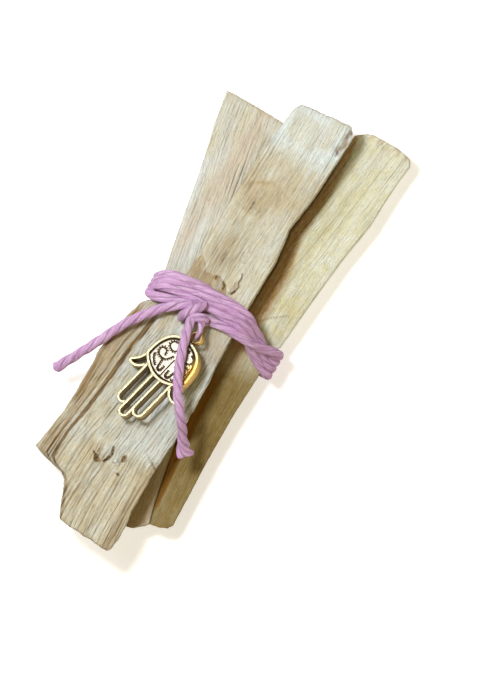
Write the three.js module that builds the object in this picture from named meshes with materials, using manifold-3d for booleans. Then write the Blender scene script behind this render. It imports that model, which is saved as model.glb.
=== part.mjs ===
// Three split sticks of palo santo, tied round with a twisted cotton cord that carries a small hand charm.
// Millimetres, +Z up. The bundle lies flat with its length along Y; the origin is the middle of its footprint.
import * as THREE from 'three';
import { mergeVertices } from 'three/addons/utils/BufferGeometryUtils.js';
import Module from 'manifold-3d';

const wasm = await Module();
wasm.setup();

// Wood: heights of the lower pair and of the stick that lies over them
const lowerFace = 9.2;
const upperUnder = 10.0;
const upperFace = 18.4;
const rowPitch = 5.8;
const edgeInset = 0.4;

// The undersides of the lower pair arch over the cord and rest on flat pads near the ends
const tieY = 0.8;
const archHeight = 3.0;
const archHalfWidth = 7.5;
const archRamp = 18;

// Cord
const cordRadius = 1.1;
const plyRadius = 0.4;
const cordSides = 8;

// Charm: it lies askew on the front stick, its right side propped up
const charmPlace = [-0.49, -5.82, 22.85];
const charmTurn = -14.4;
const charmTilt = -18;
const charmThickness = 3.1;
const barWidth = 0.66;
const palmHalfWidth = 5.75;
const palmRise = 6.0;
const fingerEnd = 20.0;
const middleEnd = 22.05;

// Cast eye on top of the charm, a thick ring that the knot's single ply passes through
const eyeRadius = 1.23;
const eyeWire = 0.38;
const eyeDepth = 1.1;
const eyeHeight = 1.85;

// Helpers
const degrees = THREE.MathUtils.degToRad;
const mix = THREE.MathUtils.lerp;
const ease = (x, from, to) => THREE.MathUtils.smoothstep(x, from, to);

// Value of one column of a table at y, straight between its rows, which run upwards in y
function tableAt(table, y, column) {
  const last = table.length - 1;
  if (y <= table[0][0]) return table[0][column];
  if (y >= table[last][0]) return table[last][column];
  const i = table.findIndex((row) => row[0] >= y);
  const [before, after] = [table[i - 1], table[i]];
  return mix(before[column], after[column], (y - before[0]) / (after[0] - before[0]));
}

// Every station of an outline, with rows between them no further apart than the pitch
function rowsThrough(outline, pitch) {
  const rows = [outline[0][0]];
  for (let i = 1; i < outline.length; i++) {
    const [from, to] = [outline[i - 1][0], outline[i][0]];
    const parts = Math.ceil((to - from) / pitch);
    for (let j = 1; j <= parts; j++) rows.push(mix(from, to, j / parts));
  }
  return rows;
}

// Long ridges of split wood: waves across the grain that wander a little along it
function ridges(x, y, pitch, phase) {
  const wander = x + 0.7 * Math.sin(y / 16 + phase);
  const coarse = Math.sin((2 * Math.PI * wander) / pitch);
  const fine = Math.sin((2 * Math.PI * (wander - 0.3)) / (0.58 * pitch) + phase);
  return 0.6 * coarse + 0.4 * fine;
}

const arch = (y) => archHeight * (1 - ease(Math.abs(y - tieY), archHalfWidth, archHalfWidth + archRamp));

const withoutSeams = (geometry) => {
  geometry.deleteAttribute('normal');
  geometry.deleteAttribute('uv');
  return mergeVertices(geometry, 1e-4);
};

function toSolid(geometry) {
  const closed = withoutSeams(geometry);
  const vertProperties = new Float32Array(closed.attributes.position.array);
  const triVerts = new Uint32Array(closed.index.array);
  return new wasm.Manifold(new wasm.Mesh({ numProp: 3, vertProperties, triVerts }));
}

function toGeometry(solid) {
  const { vertProperties, triVerts } = solid.getMesh();
  const geometry = new THREE.BufferGeometry();
  geometry.setAttribute('position', new THREE.BufferAttribute(vertProperties, 3));
  geometry.setIndex(new THREE.BufferAttribute(triVerts, 1));
  return geometry;
}

// A stick is a box whose grid is bent to an outline: rows run across it, columns along the grain.
// columnX(i, y) gives a column's x, face(x, y, i) and under(x, y) the two heights, ends(x, y) the shift of y.
function splitStick({ outline, columns, columnX, face, under, ends }) {
  const rows = rowsThrough(outline, rowPitch);
  const layers = 2;
  const geometry = new THREE.BoxGeometry(1, 1, 1, columns, rows.length - 1, layers);
  const position = geometry.attributes.position;
  for (let n = 0; n < position.count; n++) {
    const i = Math.round((position.getX(n) + 0.5) * columns);
    const y = rows[Math.round((position.getY(n) + 0.5) * (rows.length - 1))];
    const up = position.getZ(n) + 0.5;
    const [left, right] = [columnX(0, y), columnX(columns, y)];
    const inset = edgeInset * Math.abs(2 * up - 1);
    const x = mix(left + inset, right - inset, (columnX(i, y) - left) / (right - left));
    position.setXYZ(n, x, y + ends(x, y), mix(under(x, y), face(x, y, i), up));
  }
  return withoutSeams(geometry);
}

// Left stick: leans away from the others at the top, straight cut ends
function leftStick() {
  const outline = [
    [-47.2, -4.4, 8.3], [-46.0, -4.5, 10.2], [-44.9, -4.6, 11.0], [-40.8, -5.2, 9.8], [-27.0, -7.6, 7.1],
    [-16.0, -9.8, 5.3], [-0.6, -12.7, 2.1], [4.6, -12.85, 1.1], [5.5, -13.75, 1.0], [11.4, -15.0, 0.1],
    [27.9, -18.0, -2.7], [38.9, -20.5, -4.6], [46.8, -21.75, -5.9],
  ];
  const columns = 8;
  const columnX = (i, y) => mix(tableAt(outline, y, 1), tableAt(outline, y, 2), i / columns);
  const face = (x, y) => lowerFace - 1.1 * ease(y, 14, 46) - 0.5 * ease(-y, 30, 46) + 0.18 * ridges(x, y, 4.2, 1);
  const ends = (x, y) => (y < -46.5 ? 0.25 * Math.max(x - 9, -3) : 0);
  return splitStick({ outline, columns, columnX, face, under: (x, y) => arch(y), ends });
}

// Right stick: widest at the top, tapering under the front stick to a narrow lower end
function rightStick() {
  const outline = [
    [-44.9, 11.35, 15.1], [-43.5, 11.0, 15.9], [-40.8, 10.15, 15.8], [-27.0, 7.45, 15.5], [-16.0, 5.7, 15.4],
    [-5.4, 4.3, 15.9], [2.3, 3.4, 15.95], [3.2, 3.3, 17.0], [6.4, 2.9, 17.3], [12.5, 3.4, 17.8],
    [26.8, 4.7, 19.1], [36.7, 5.6, 20.6], [48.8, 7.3, 21.4], [52.2, 7.9, 21.75], [53.2, 9.2, 21.3],
  ];
  const columns = 8;
  const columnX = (i, y) => mix(tableAt(outline, y, 1), tableAt(outline, y, 2), i / columns);
  const crown = (x, y) => {
    const [left, right] = [tableAt(outline, y, 1), tableAt(outline, y, 2)];
    return 0.5 * (((2 * x - left - right) / (right - left)) ** 2);
  };
  const face = (x, y) => lowerFace - 0.9 * ease(y, 16, 52) - crown(x, y) + 0.12 * ridges(x, y, 5.0, 4);
  // The upper end is rounded, the lower one is cut aslant
  const ends = (x, y) => {
    if (y > 52.5) return 1.2 * (1 - ((x - 15.2) / 6.6) ** 2);
    return y < -44.5 ? 0.28 * (x - 11.4) : 0;
  };
  return splitStick({ outline, columns, columnX, face, under: (x, y) => arch(y), ends });
}

// Front stick: a broad face with a lower ledge down its left side that is broken off short of the end.
// The outline gives y, left edge, foot of the face where the ledge begins, right edge.
function frontStick() {
  const outline = [
    [-53.9, -6.5, -6.0, 5.9], [-53.2, -6.9, -6.4, 6.6], [-50.2, -7.9, -7.3, 6.9], [-47.7, -8.8, -8.2, 6.8],
    [-45.5, -9.9, -9.0, 6.6], [-44.4, -11.4, -10.2, 6.4], [-43.9, -13.6, -11.6, 6.4], [-43.1, -17.2, -13.4, 6.4],
    [-42.2, -19.1, -14.2, 6.4], [-38.1, -18.3, -14.2, 6.4], [-32.6, -17.4, -13.8, 6.5], [-27.1, -17.2, -12.9, 6.9],
    [-17.2, -17.4, -11.7, 7.0], [-12.8, -16.9, -11.2, 7.0], [-7.3, -15.8, -10.5, 6.8], [-3.2, -14.6, -9.9, 6.6],
    [-2.0, -13.6, -9.8, 6.5], [-1.5, -12.6, -9.7, 6.5], [0.6, -12.5, -9.6, 6.5], [1.8, -11.2, -9.3, 6.4],
    [3.6, -9.2, -8.6, 6.4], [7.0, -9.0, -8.4, 6.4], [19.1, -8.8, -8.2, 6.6], [26.8, -8.8, -8.2, 5.7],
    [36.7, -8.4, -7.8, 6.9], [46.6, -7.3, -6.7, 7.5], [50.6, -6.8, -6.2, 7.6], [51.9, -6.4, -5.8, 7.0],
    [52.7, -5.8, -5.2, 6.0],
  ];
  const ledgeSpans = [0, 0.36, 0.62, 0.82, 0.93, 1];
  const ledgeDrops = [2.7, 2.0, 1.7, 1.3, 2.1, 0];
  const ledgeColumns = ledgeSpans.length - 1;
  const columns = ledgeColumns + 9;
  // Pits, chips and a crack in the face: x, y, reach across, reach along, depth
  const dents = [
    [-6.1, -37.6, 1.7, 1.2, 0.6], [-3.7, -36.4, 1.2, 2.0, 0.5], [-1.2, -34.7, 1.4, 1.6, 0.6],
    [4.6, -32.8, 1.6, 1.6, 0.4], [-0.4, 8.9, 1.4, 1.6, 0.6], [1.5, 11.0, 1.2, 3.2, 0.5], [-4.3, 27.7, 1.4, 1.6, 0.35],
    [6.6, 50.5, 1.8, 3.4, 1.3],
  ];
  const dent = (x, y) => dents.reduce((sum, [cx, cy, across, along, depth]) => {
    const far = Math.hypot((x - cx) / across, (y - cy) / along);
    return sum + depth * (1 - ease(far, 0.2, 1));
  }, 0);
  const columnX = (i, y) => {
    const foot = tableAt(outline, y, 2);
    if (i <= ledgeColumns) return mix(tableAt(outline, y, 1), foot, ledgeSpans[i]);
    return mix(foot, tableAt(outline, y, 3), (i - ledgeColumns) / (columns - ledgeColumns));
  };
  const ledgeStart = (y) => 1 - ease(y, -5, 3);
  const ledgeEnd = (y) => ease(y, -46.5, -42.5);
  const face = (x, y, i) => {
    const ledge = i < ledgeColumns ? ledgeDrops[i] * mix(0.15, 1, ledgeStart(y) * ledgeEnd(y)) : 0;
    const rightEdge = 0.35 * ease(x, 4.6, 7);
    return upperFace - ledge - rightEdge + 0.16 * ridges(x, y, 3.4, 2) - dent(x, y);
  };
  const ends = (x, y) => (y > 52 ? 0.11 * x : 0) + (y < -53 ? -0.06 * x : 0);
  return splitStick({ outline, columns, columnX, face, under: () => upperUnder, ends });
}

// A cord whose steps fall on the points of its route
class CordRoute extends THREE.CatmullRomCurve3 {
  getPointAt(u, target) {
    return this.getPoint(u, target);
  }

  getTangentAt(u, target) {
    return this.getTangent(u, target);
  }
}

// The section's corners stand at the given share of a side from its first axis
function cordTube(points, radius, cornerShare = 0.5) {
  const section = new THREE.Shape();
  for (let i = 0; i < cordSides; i++) {
    const angle = (2 * Math.PI * (i + cornerShare)) / cordSides;
    section[i ? 'lineTo' : 'moveTo'](radius * Math.cos(angle), radius * Math.sin(angle));
  }
  section.closePath();
  const route = new CordRoute(points.map((p) => new THREE.Vector3(...p)), false, 'centripetal');
  return new THREE.ExtrudeGeometry(section, { steps: points.length - 1, bevelEnabled: false, extrudePath: route });
}

// One turn of the cord round the bundle, from the left side over the front and back beneath.
// x and z of the cord's middle, y of the uppermost turn there, the spacing of the turns, and how far the
// cord has moved on to the place of the next turn.
const belt = [
  [-14.3, 7.0, 3.5, 1.3, 0], [-14.3, 10.2, 3.5, 1.3, 0], [-14.1, 13.8, 3.8, 1.3, 0], [-13.1, 17.8, 4.6, 1.4, 0],
  [-10.4, 20.2, 5.7, 1.5, 0], [-5.0, 20.2, 6.25, 1.55, 0], [0, 20.2, 6.3, 1.55, 0], [4.6, 20.2, 6.2, 1.55, 0],
  [7.4, 19.6, 5.6, 1.55, 0], [10.3, 16.9, 3.8, 1.6, 0], [13.3, 13.9, 1.8, 1.6, 0], [15.6, 11.7, 0.6, 1.65, 0],
  [16.9, 10.4, 0.2, 1.65, 0], [17.4, 8.8, 0.1, 1.65, 0], [17.4, 4.0, 0.1, 1.65, 0], [17.0, 2.2, 0.2, 1.65, 0.05],
  [15.7, 1.45, 0.4, 1.7, 0.12], [9.0, 1.45, 2.3, 2.0, 0.35], [0, 1.45, 3.6, 2.0, 0.6],
  [-8.0, 1.45, 4.0, 1.7, 0.85], [-12.7, 1.5, 3.7, 1.45, 0.97], [-13.9, 2.2, 3.5, 1.35, 1], [-14.3, 3.9, 3.5, 1.3, 1],
];
const fullTurns = 3;
const leftStation = 1;
const rightStation = 13;
const lap = 0.4;

function beltPoint([x, z, y, spacing, onward], turn) {
  const pile = turn === 2 && z > 19 ? 0.3 : 0;
  return [x, y - spacing * (turn + onward - 1), z + pile];
}

// The cord leaves the knot to the right over the other turns, goes round, and comes back to it from the left.
// Each half turn is a tube of its own that laps a little way into the next, as neighbouring turns press together.
function halfTurns() {
  const out = [
    [-1.8, 0.7, 20.6], [1.4, 0.8, 20.3], [4.8, 1.1, 20.3], [7.6, 1.1, 20.3], [10.4, 0.9, 18.9],
    [13.4, 1.2, 15.9], [15.8, 1.7, 13.2], [17.1, 1.8, 11.1],
  ];
  const back = [
    [-14.2, -0.4, 7.0], [-14.2, -0.4, 10.2], [-14.2, -0.4, 13.6], [-14.0, -0.5, 16.9], [-13.0, -0.5, 19.1],
    [-10.9, 0.0, 20.3], [-8.2, 0.9, 20.3], [-5.6, 1.6, 20.3], [-3.4, 1.6, 20.6],
  ];
  const halves = [out];
  for (let turn = 0; turn <= fullTurns; turn++) {
    for (let i = turn === 0 ? rightStation : 0; i < belt.length; i++) {
      halves[halves.length - 1].push(beltPoint(belt[i], turn));
      if (i === leftStation || i === rightStation) halves.push([beltPoint(belt[i], turn)]);
    }
  }
  halves[halves.length - 1].push(...back);
  return halves;
}

// The points of one half turn and one more, the lap beyond its end
function lapped(points) {
  const [before, end] = points.slice(-2).map((p) => new THREE.Vector3(...p));
  const beyond = end.clone().sub(before).setLength(lap).add(end);
  return [...points, beyond.toArray()];
}

// The knot: one band laid over the turns, one loop over the cord's two ends, and a single ply that holds the charm
const knotBand = [
  [-5.2, -1.9, 20.0], [-5.2, -1.2, 21.4], [-4.8, -0.3, 22.5], [-4.1, 0.7, 23.0], [-3.3, 1.7, 22.9], [-2.6, 2.6, 22.1],
  [-2.2, 3.3, 20.9],
];
const knotLoop = [
  [-3.5, -0.8, 20.6], [-3.2, -0.5, 22.2], [-2.5, 0.0, 23.2], [-1.6, 0.3, 23.5], [-0.8, 0.3, 22.9], [-0.5, 0.1, 21.8],
  [-0.6, 0.0, 20.6],
];
const charmPly = [
  [-1.0, -0.4, 22.8], [-0.6, -1.3, 24.0], [-0.3, -2.4, 24.75], [-0.25, -3.4, 24.75], [-0.15, -3.95, 24.1],
  [-0.02, -4.1, 22.85], [0.1, -4.1, 21.7], [0.1, -3.4, 21.0], [-0.1, -2.4, 20.8], [-0.6, -1.2, 20.8],
  [-1.2, 0.0, 20.9],
];
const leftStub = [
  [-4.2, 1.7, 21.2], [-6.4, 0.75, 21.5], [-8.6, -0.8, 21.5], [-9.9, -2.0, 21.3], [-10.5, -2.65, 21.1],
];
const downStub = [[-3.0, 0.2, 21.8], [-3.15, -1.2, 22.9], [-3.0, -2.4, 23.85]];

function cordWraps() {
  const strands = [
    ...halfTurns().map((half, i) => cordTube(lapped(half), cordRadius, i % 2 ? 0 : 0.5)),
    cordTube(knotBand, cordRadius),
    cordTube(knotLoop, cordRadius),
    cordTube(charmPly, plyRadius),
    cordTube(leftStub, cordRadius),
    cordTube(downStub, cordRadius),
  ];
  const core = new THREE.SphereGeometry(1.5, 10, 6).scale(1.5, 0.8, 0.9).translate(-2.2, 0.7, 21.1);
  const joined = [...strands, core].map(toSolid).reduce((whole, piece) => whole.add(piece));
  // Pockets that close up between the strands are left filled: only shells that enclose material stay
  return toGeometry(joined.decompose().find((shell) => shell.volume() > 0));
}

// The two tails: free cords, cut off bare
const leftTail = [
  [-10.75, -2.95, 21.02], [-12.1, -4.6, 20.5], [-13.9, -6.9, 19.9], [-15.6, -9.5, 19.1], [-17.0, -12.2, 18.3],
  [-18.6, -15.4, 17.1], [-20.4, -18.8, 15.5], [-22.3, -22.3, 13.5], [-24.0, -25.3, 11.5],
];
const downTail = [
  [-2.95, -2.8, 24.13], [-2.6, -4.1, 25.0], [-2.1, -6.1, 25.9], [-1.25, -8.8, 26.4], [-0.35, -11.1, 26.9],
  [0.7, -13.5, 27.4], [1.9, -15.8, 27.9], [3.1, -17.7, 28.3], [4.6, -19.6, 28.1], [6.0, -21.4, 26.5],
  [7.3, -23.2, 23.9], [8.6, -25.4, 21.5], [10.2, -28.1, 19.4],
];

// Outline of the charm: a hand pointing down, its top at y 0
function charmOutline() {
  const [rim, middle, side] = [barWidth, 1.4, 2.4];
  const sideRadius = 1.6;
  const domeMiddle = -5.7;
  const shape = new THREE.Shape();
  shape.moveTo(0, domeMiddle + palmRise);
  shape.absellipse(0, domeMiddle, palmHalfWidth, palmRise, Math.PI / 2, 0, true);
  shape.lineTo(5.85, -8.4);
  shape.quadraticCurveTo(6.3, -10.4, 7.85, -11.4);
  shape.quadraticCurveTo(7.45, -12.3, 6.5, -12.45);
  shape.quadraticCurveTo(4.9, -12.5, side + sideRadius, -11.3);
  shape.lineTo(side + sideRadius, sideRadius - fingerEnd);
  const meet = Math.acos((middle - side) / sideRadius);
  shape.absarc(side, sideRadius - fingerEnd, sideRadius, 0, -meet, true);
  shape.lineTo(middle, middle - middleEnd);
  shape.absarc(0, middle - middleEnd, middle, 0, -Math.PI / 2, true);
  const right = shape.getPoints(7).filter((p, i, all) => i === 0 || p.distanceTo(all[i - 1]) > 0.02);
  const left = right.slice(1, -1).reverse().map((p) => new THREE.Vector2(-p.x, p.y));
  const outline = new THREE.Shape([...right, ...left].reverse());
  // Openings in the three fingers and the two thumbs
  const slot = (x, half, topLeft, topRight, end) => {
    const hole = new THREE.Path();
    hole.moveTo(x - half, topLeft);
    hole.lineTo(x - half, half - end);
    hole.absarc(x, half - end, half, Math.PI, 2 * Math.PI, false);
    hole.lineTo(x + half, topRight);
    hole.closePath();
    return hole;
  };
  const thumb = (sign) => new THREE.Path(
    [[5.25, -9.3], [6.0, -10.5], [7.1, -11.45], [6.4, -11.8], [5.35, -11.6], [4.6, -10.6]]
      .map(([x, y]) => new THREE.Vector2(sign * x, y)),
  );
  outline.holes = [
    slot(-side, sideRadius - rim, -10.2, -10.8, fingerEnd - rim),
    slot(0, middle - rim, -11.0, -11.0, middleEnd - rim),
    slot(side, sideRadius - rim, -10.8, -10.2, fingerEnd - rim),
    thumb(1),
    thumb(-1),
  ];
  return outline;
}

// Inner edge of the palm's rim: a dome over a shallow bow that meet in a corner each side, drawn in by an amount
function palmField(inset) {
  const field = new THREE.Shape();
  const half = 5.2 - inset;
  const [foot, crown, bow] = [-7.8, -0.35 - inset, -10.1 + inset];
  field.moveTo(half, foot);
  field.quadraticCurveTo(half + 0.4, crown - 0.15, 0, crown);
  field.quadraticCurveTo(-half - 0.4, crown - 0.15, -half, foot);
  field.quadraticCurveTo(-3.0, bow + 0.1, 0, bow);
  field.quadraticCurveTo(3.0, bow + 0.1, half, foot);
  return field.getPoints(6).slice(0, -1);
}

function handCharm() {
  const half = charmThickness / 2;
  const plateShape = { depth: charmThickness, bevelEnabled: false, curveSegments: 6 };
  const plate = new THREE.ExtrudeGeometry(charmOutline(), plateShape);
  plate.translate(0, 0, -half);
  const moat = new THREE.Shape(palmField(0));
  moat.holes = [new THREE.Path(palmField(0.35))];
  const groove = new THREE.ExtrudeGeometry(moat, { depth: 1, bevelEnabled: false });
  groove.translate(0, 0, half - 0.55);
  const centreLine = new THREE.BoxGeometry(0.25, 5.0, 1).translate(0.3, -7.3, half + 0.05);
  const eye = new THREE.TorusGeometry(eyeRadius, eyeWire, 7, 18);
  eye.scale(1, 1, eyeDepth / eyeWire).translate(0, eyeHeight, 0);
  return toGeometry(toSolid(plate).subtract(toSolid(groove)).subtract(toSolid(centreLine)).add(toSolid(eye)));
}

const wood = (colour) => new THREE.MeshStandardMaterial({ color: colour, roughness: 0.85, metalness: 0 });
const cotton = new THREE.MeshStandardMaterial({ color: 0xc79ac9, roughness: 0.95, metalness: 0 });
const gold = new THREE.MeshStandardMaterial({ color: 0xd9bd73, roughness: 0.35, metalness: 1 });

const bundle = new THREE.Group();

function place(name, geometry, material) {
  const mesh = new THREE.Mesh(geometry, material);
  mesh.name = name;
  bundle.add(mesh);
  return mesh;
}

place('left_stick', leftStick(), wood(0xd8cbb0));
place('right_stick', rightStick(), wood(0xd3c690));
place('front_stick', frontStick(), wood(0xc8bda6));
place('cord_wraps', cordWraps(), cotton);
place('cord_tail_left', withoutSeams(cordTube(leftTail, cordRadius)), cotton);
place('cord_tail_down', withoutSeams(cordTube(downTail, cordRadius)), cotton);

const charm = place('hand_charm', handCharm(), gold);
charm.position.set(...charmPlace);
charm.rotation.set(0, degrees(charmTilt), degrees(charmTurn), 'ZYX');

export default bundle;
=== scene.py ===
# Three split sticks of palo santo tied with a lilac cotton cord that carries a small cast hand charm.
# Shapes are worked out in millimetres in the row frame and go into the meshes in metres.
import math

import bpy
import numpy as np
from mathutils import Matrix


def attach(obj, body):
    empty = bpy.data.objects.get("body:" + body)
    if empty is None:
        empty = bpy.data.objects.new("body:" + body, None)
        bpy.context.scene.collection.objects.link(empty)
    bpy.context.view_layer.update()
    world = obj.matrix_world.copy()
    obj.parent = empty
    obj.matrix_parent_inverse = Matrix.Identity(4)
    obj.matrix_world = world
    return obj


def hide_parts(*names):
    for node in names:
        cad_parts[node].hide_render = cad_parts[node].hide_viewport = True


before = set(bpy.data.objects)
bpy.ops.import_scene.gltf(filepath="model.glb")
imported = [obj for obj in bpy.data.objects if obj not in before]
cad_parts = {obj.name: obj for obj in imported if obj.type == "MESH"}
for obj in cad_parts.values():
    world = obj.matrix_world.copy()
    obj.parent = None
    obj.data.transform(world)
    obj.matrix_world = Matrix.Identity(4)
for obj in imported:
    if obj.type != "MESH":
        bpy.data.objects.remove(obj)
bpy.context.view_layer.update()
mm = 0.001


# Numbers and curves


def ease(x, low, high):
    # 0 below low, 1 above high, an S-shaped cubic between
    t = np.clip((x - low) / (high - low), 0, 1)
    return t * t * (3 - 2 * t)


def hashOf(ix, iy, seed):
    # scrambles two whole numbers and a seed into a value from 0 to 1
    h = (ix.astype(np.int64) * 374761393 + iy.astype(np.int64) * 668265263 + seed * 144269504) & 0x7FFFFFFF
    h = ((h ^ (h >> 13)) * 1274126177) & 0x7FFFFFFF
    return ((h ^ (h >> 16)) & 0xFFFFFF) / 0xFFFFFF


def noise(x, y, seed):
    # value noise: the hashed values of the four whole-number points round (x, y), eased between
    x, y = np.broadcast_arrays(np.asarray(x, float), np.asarray(y, float))
    ix, iy = np.floor(x), np.floor(y)
    fx, fy = x - ix, y - iy
    fx, fy = fx * fx * (3 - 2 * fx), fy * fy * (3 - 2 * fy)
    low = hashOf(ix, iy, seed) * (1 - fx) + hashOf(ix + 1, iy, seed) * fx
    high = hashOf(ix, iy + 1, seed) * (1 - fx) + hashOf(ix + 1, iy + 1, seed) * fx
    return low * (1 - fy) + high * fy


def wave(x, y, seed):
    # the noise, moved to lie round zero
    return noise(x, y, seed) - 0.5


def waves(across, along, layers):
    # sum of waves, each given as (height, size across, size along, seed)
    return sum(height * wave(across / wide, along / long, seed) for height, wide, long, seed in layers)


def mottled(x, y, seed, low, high):
    # patches: the noise eased between two limits
    return ease(noise(x, y, seed), low, high)


def fall(x, low, high):
    # 1 below low, 0 above high
    return 1 - ease(x, low, high)


def between(y, low, full, fade, high):
    # 0 below low, 1 from full to fade, 0 above high
    return ease(y, low, full) * fall(y, fade, high)


def bell(offset, width):
    # 1 at no offset, e to the minus square of offset over width
    return np.exp(-(offset / width) ** 2)


def spot(x, y, place, reach):
    # 1 at the place, falling as a bell to nothing at about twice the reach, given across and along
    return np.exp(-((x - place[0]) / reach[0]) ** 2 - ((y - place[1]) / reach[1]) ** 2)


def nearLine(x, y, points, width):
    # bell of the distance from (x, y) to a line through the points
    nearest = np.full(np.shape(x), 1e9)
    for (ax, ay), (bx, by) in zip(points[:-1], points[1:]):
        alongX, alongY = bx - ax, by - ay
        share = ((x - ax) * alongX + (y - ay) * alongY) / (alongX ** 2 + alongY ** 2)
        share = np.clip(share, 0, 1)
        nearest = np.minimum(nearest, (x - ax - share * alongX) ** 2 + (y - ay - share * alongY) ** 2)
    return np.exp(-nearest / width ** 2)


def directions(line):
    # unit vectors along a line of points
    along = np.gradient(line, axis=0)
    return along / np.linalg.norm(along, axis=1, keepdims=True)


def smoothRoute(points, step):
    # Catmull-Rom curve through the points, then points at equal steps along it
    points = np.asarray(points, float)
    padded = np.vstack([2 * points[0] - points[1], points, 2 * points[-1] - points[-2]])
    t = np.linspace(0, len(points) - 1, 24 * (len(points) - 1) + 1)
    i = np.minimum(t.astype(int), len(points) - 2)
    f = (t - i)[:, None]
    a, b, c, d = padded[i], padded[i + 1], padded[i + 2], padded[i + 3]
    square, cube = 2 * a - 5 * b + 4 * c - d, 3 * b - a - 3 * c + d
    curve = 0.5 * (2 * b + (c - a) * f + square * f ** 2 + cube * f ** 3)
    run = np.concatenate([[0], np.cumsum(np.linalg.norm(np.diff(curve, axis=0), axis=1))])
    at = np.linspace(0, run[-1], max(3, round(run[-1] / step) + 1))
    return np.stack([np.interp(at, run, curve[:, k]) for k in range(3)], axis=1), at


# Meshes


def ringFaces(rows, around):
    # squares between neighbouring rings of a tube, fans from its first and last ring to two end points
    i, j = np.meshgrid(np.arange(rows - 1), np.arange(around), indexing="ij")
    k = (j + 1) % around
    here, there = i * around, (i + 1) * around
    squares = np.stack([here + j, here + k, there + k, there + j], axis=-1)
    j = np.arange(around)
    k = (j + 1) % around
    first, last = rows * around, rows * around + 1
    fans = np.concatenate([
        np.stack([np.full(around, first), k, j], axis=-1),
        np.stack([np.full(around, last), first - around + j, first - around + k], axis=-1),
    ])
    return squares.reshape(-1, 4), fans


def volumeOf(points, squares, fans):
    # sum of the signed volumes of the pyramids from the origin to every triangle
    triangles = np.concatenate([fans, squares[:, [0, 1, 2]], squares[:, [0, 2, 3]]])
    a, b, c = (points[triangles[:, n]] for n in range(3))
    return float(np.einsum("ij,ij->i", a, np.cross(b, c)).sum() / 6)


def facingOut(points, squares, fans):
    # the faces, turned over if the volume they enclose comes out negative
    if volumeOf(points, squares, fans) < 0:
        return squares[:, ::-1], fans[:, ::-1]
    return squares, fans


def placed(name, data):
    # an object of the scene that shows the given mesh, light or camera
    item = bpy.data.objects.new(name, data)
    bpy.context.scene.collection.objects.link(item)
    return item


def makePiece(name, points, squares, fans, material, values):
    # puts arrays in millimetres into a mesh, faces outwards, with named values on its points
    squares, fans = facingOut(points, squares, fans)
    mesh = bpy.data.meshes.new(name)
    mesh.from_pydata((points * mm).tolist(), [], squares.tolist() + fans.tolist())
    mesh.polygons.foreach_set("use_smooth", np.ones(len(mesh.polygons), bool))
    for label, value in values.items():
        kind = "FLOAT_VECTOR" if value.ndim == 2 else "FLOAT"
        layer = mesh.attributes.new(label, kind, "POINT")
        layer.data.foreach_set("vector" if value.ndim == 2 else "value", value.astype(np.float32).ravel())
    mesh.materials.append(material)
    piece = placed(name, mesh)
    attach(piece, "root")
    print(f"{name}: {len(squares) * 2 + len(fans)} triangles")
    return piece


# Materials


class Wire:
    # one output socket; arithmetic on it adds Math nodes
    def __init__(self, bench, socket):
        self.bench = bench
        self.socket = socket

    def math(self, operation, *others):
        values = dict(enumerate((self,) + others))
        return self.bench.add("ShaderNodeMath", {"operation": operation}, values)

    def __add__(self, other):
        return self.math("ADD", other)

    def __sub__(self, other):
        return self.math("SUBTRACT", other)

    def __mul__(self, other):
        return self.math("MULTIPLY", other)

    def __rsub__(self, other):
        return (self * -1).math("ADD", other)

    __radd__ = __add__
    __rmul__ = __mul__

    def least(self, other):
        return self.math("MINIMUM", other)

    def rise(self, low, high):
        # 0 below low, 1 above high, eased between
        values = {0: self, 1: low, 2: high, 3: 0.0, 4: 1.0}
        return self.bench.add("ShaderNodeMapRange", {"interpolation_type": "SMOOTHSTEP"}, values)


class Bench:
    # one material under construction, with one method for every node
    def __init__(self, name):
        self.material = bpy.data.materials.new(name)
        self.material.use_nodes = True
        self.tree = self.material.node_tree
        self.shader = self.tree.nodes["Principled BSDF"]

    def feed(self, socket, value):
        if isinstance(value, Wire):
            self.tree.links.new(value.socket, socket)
        else:
            socket.default_value = value

    def add(self, kind, settings, values, result=0):
        node = self.tree.nodes.new(kind)
        for key, value in settings.items():
            setattr(node, key, value)
        for key, value in values.items():
            self.feed(node.inputs[key], value)
        return Wire(self, node.outputs[result])

    def mix(self, share, low, high):
        # one colour into another by a share from 0 to 1
        settings = {"data_type": "RGBA", "blend_type": "MIX", "clamp_factor": True}
        return self.add("ShaderNodeMix", settings, {0: share, 6: low, 7: high}, 2)

    def value(self, label):
        return self.add("ShaderNodeAttribute", {"attribute_name": label}, {}, 2)

    def place(self, label, stretch):
        # a vector kept on the mesh, stretched along each of its three directions
        found = self.add("ShaderNodeAttribute", {"attribute_name": label}, {}, 1)
        return self.add("ShaderNodeVectorMath", {"operation": "MULTIPLY"}, {0: found, 1: stretch})

    def cloud(self, where, scale=1.0, detail=2.0, rough=0.5):
        values = {"Vector": where, "Scale": scale, "Detail": detail, "Roughness": rough}
        return self.add("ShaderNodeTexNoise", {}, values)

    def finish(self, colour, roughness, height=None, bump=0.5, deep=0.0001):
        self.feed(self.shader.inputs["Base Color"], colour)
        self.feed(self.shader.inputs["Roughness"], roughness)
        if height is not None:
            normal = self.add("ShaderNodeBump", {}, {"Height": height, "Strength": bump, "Distance": deep})
            self.feed(self.shader.inputs["Normal"], normal)
        return self.material


def shade(red, green, blue):
    # a screen colour from 0 to 255 as the linear colour a shader takes
    parts = [v / 255 for v in (red, green, blue)]
    return [v / 12.92 if v <= 0.04045 else ((v + 0.055) / 1.055) ** 2.4 for v in parts] + [1.0]


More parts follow.
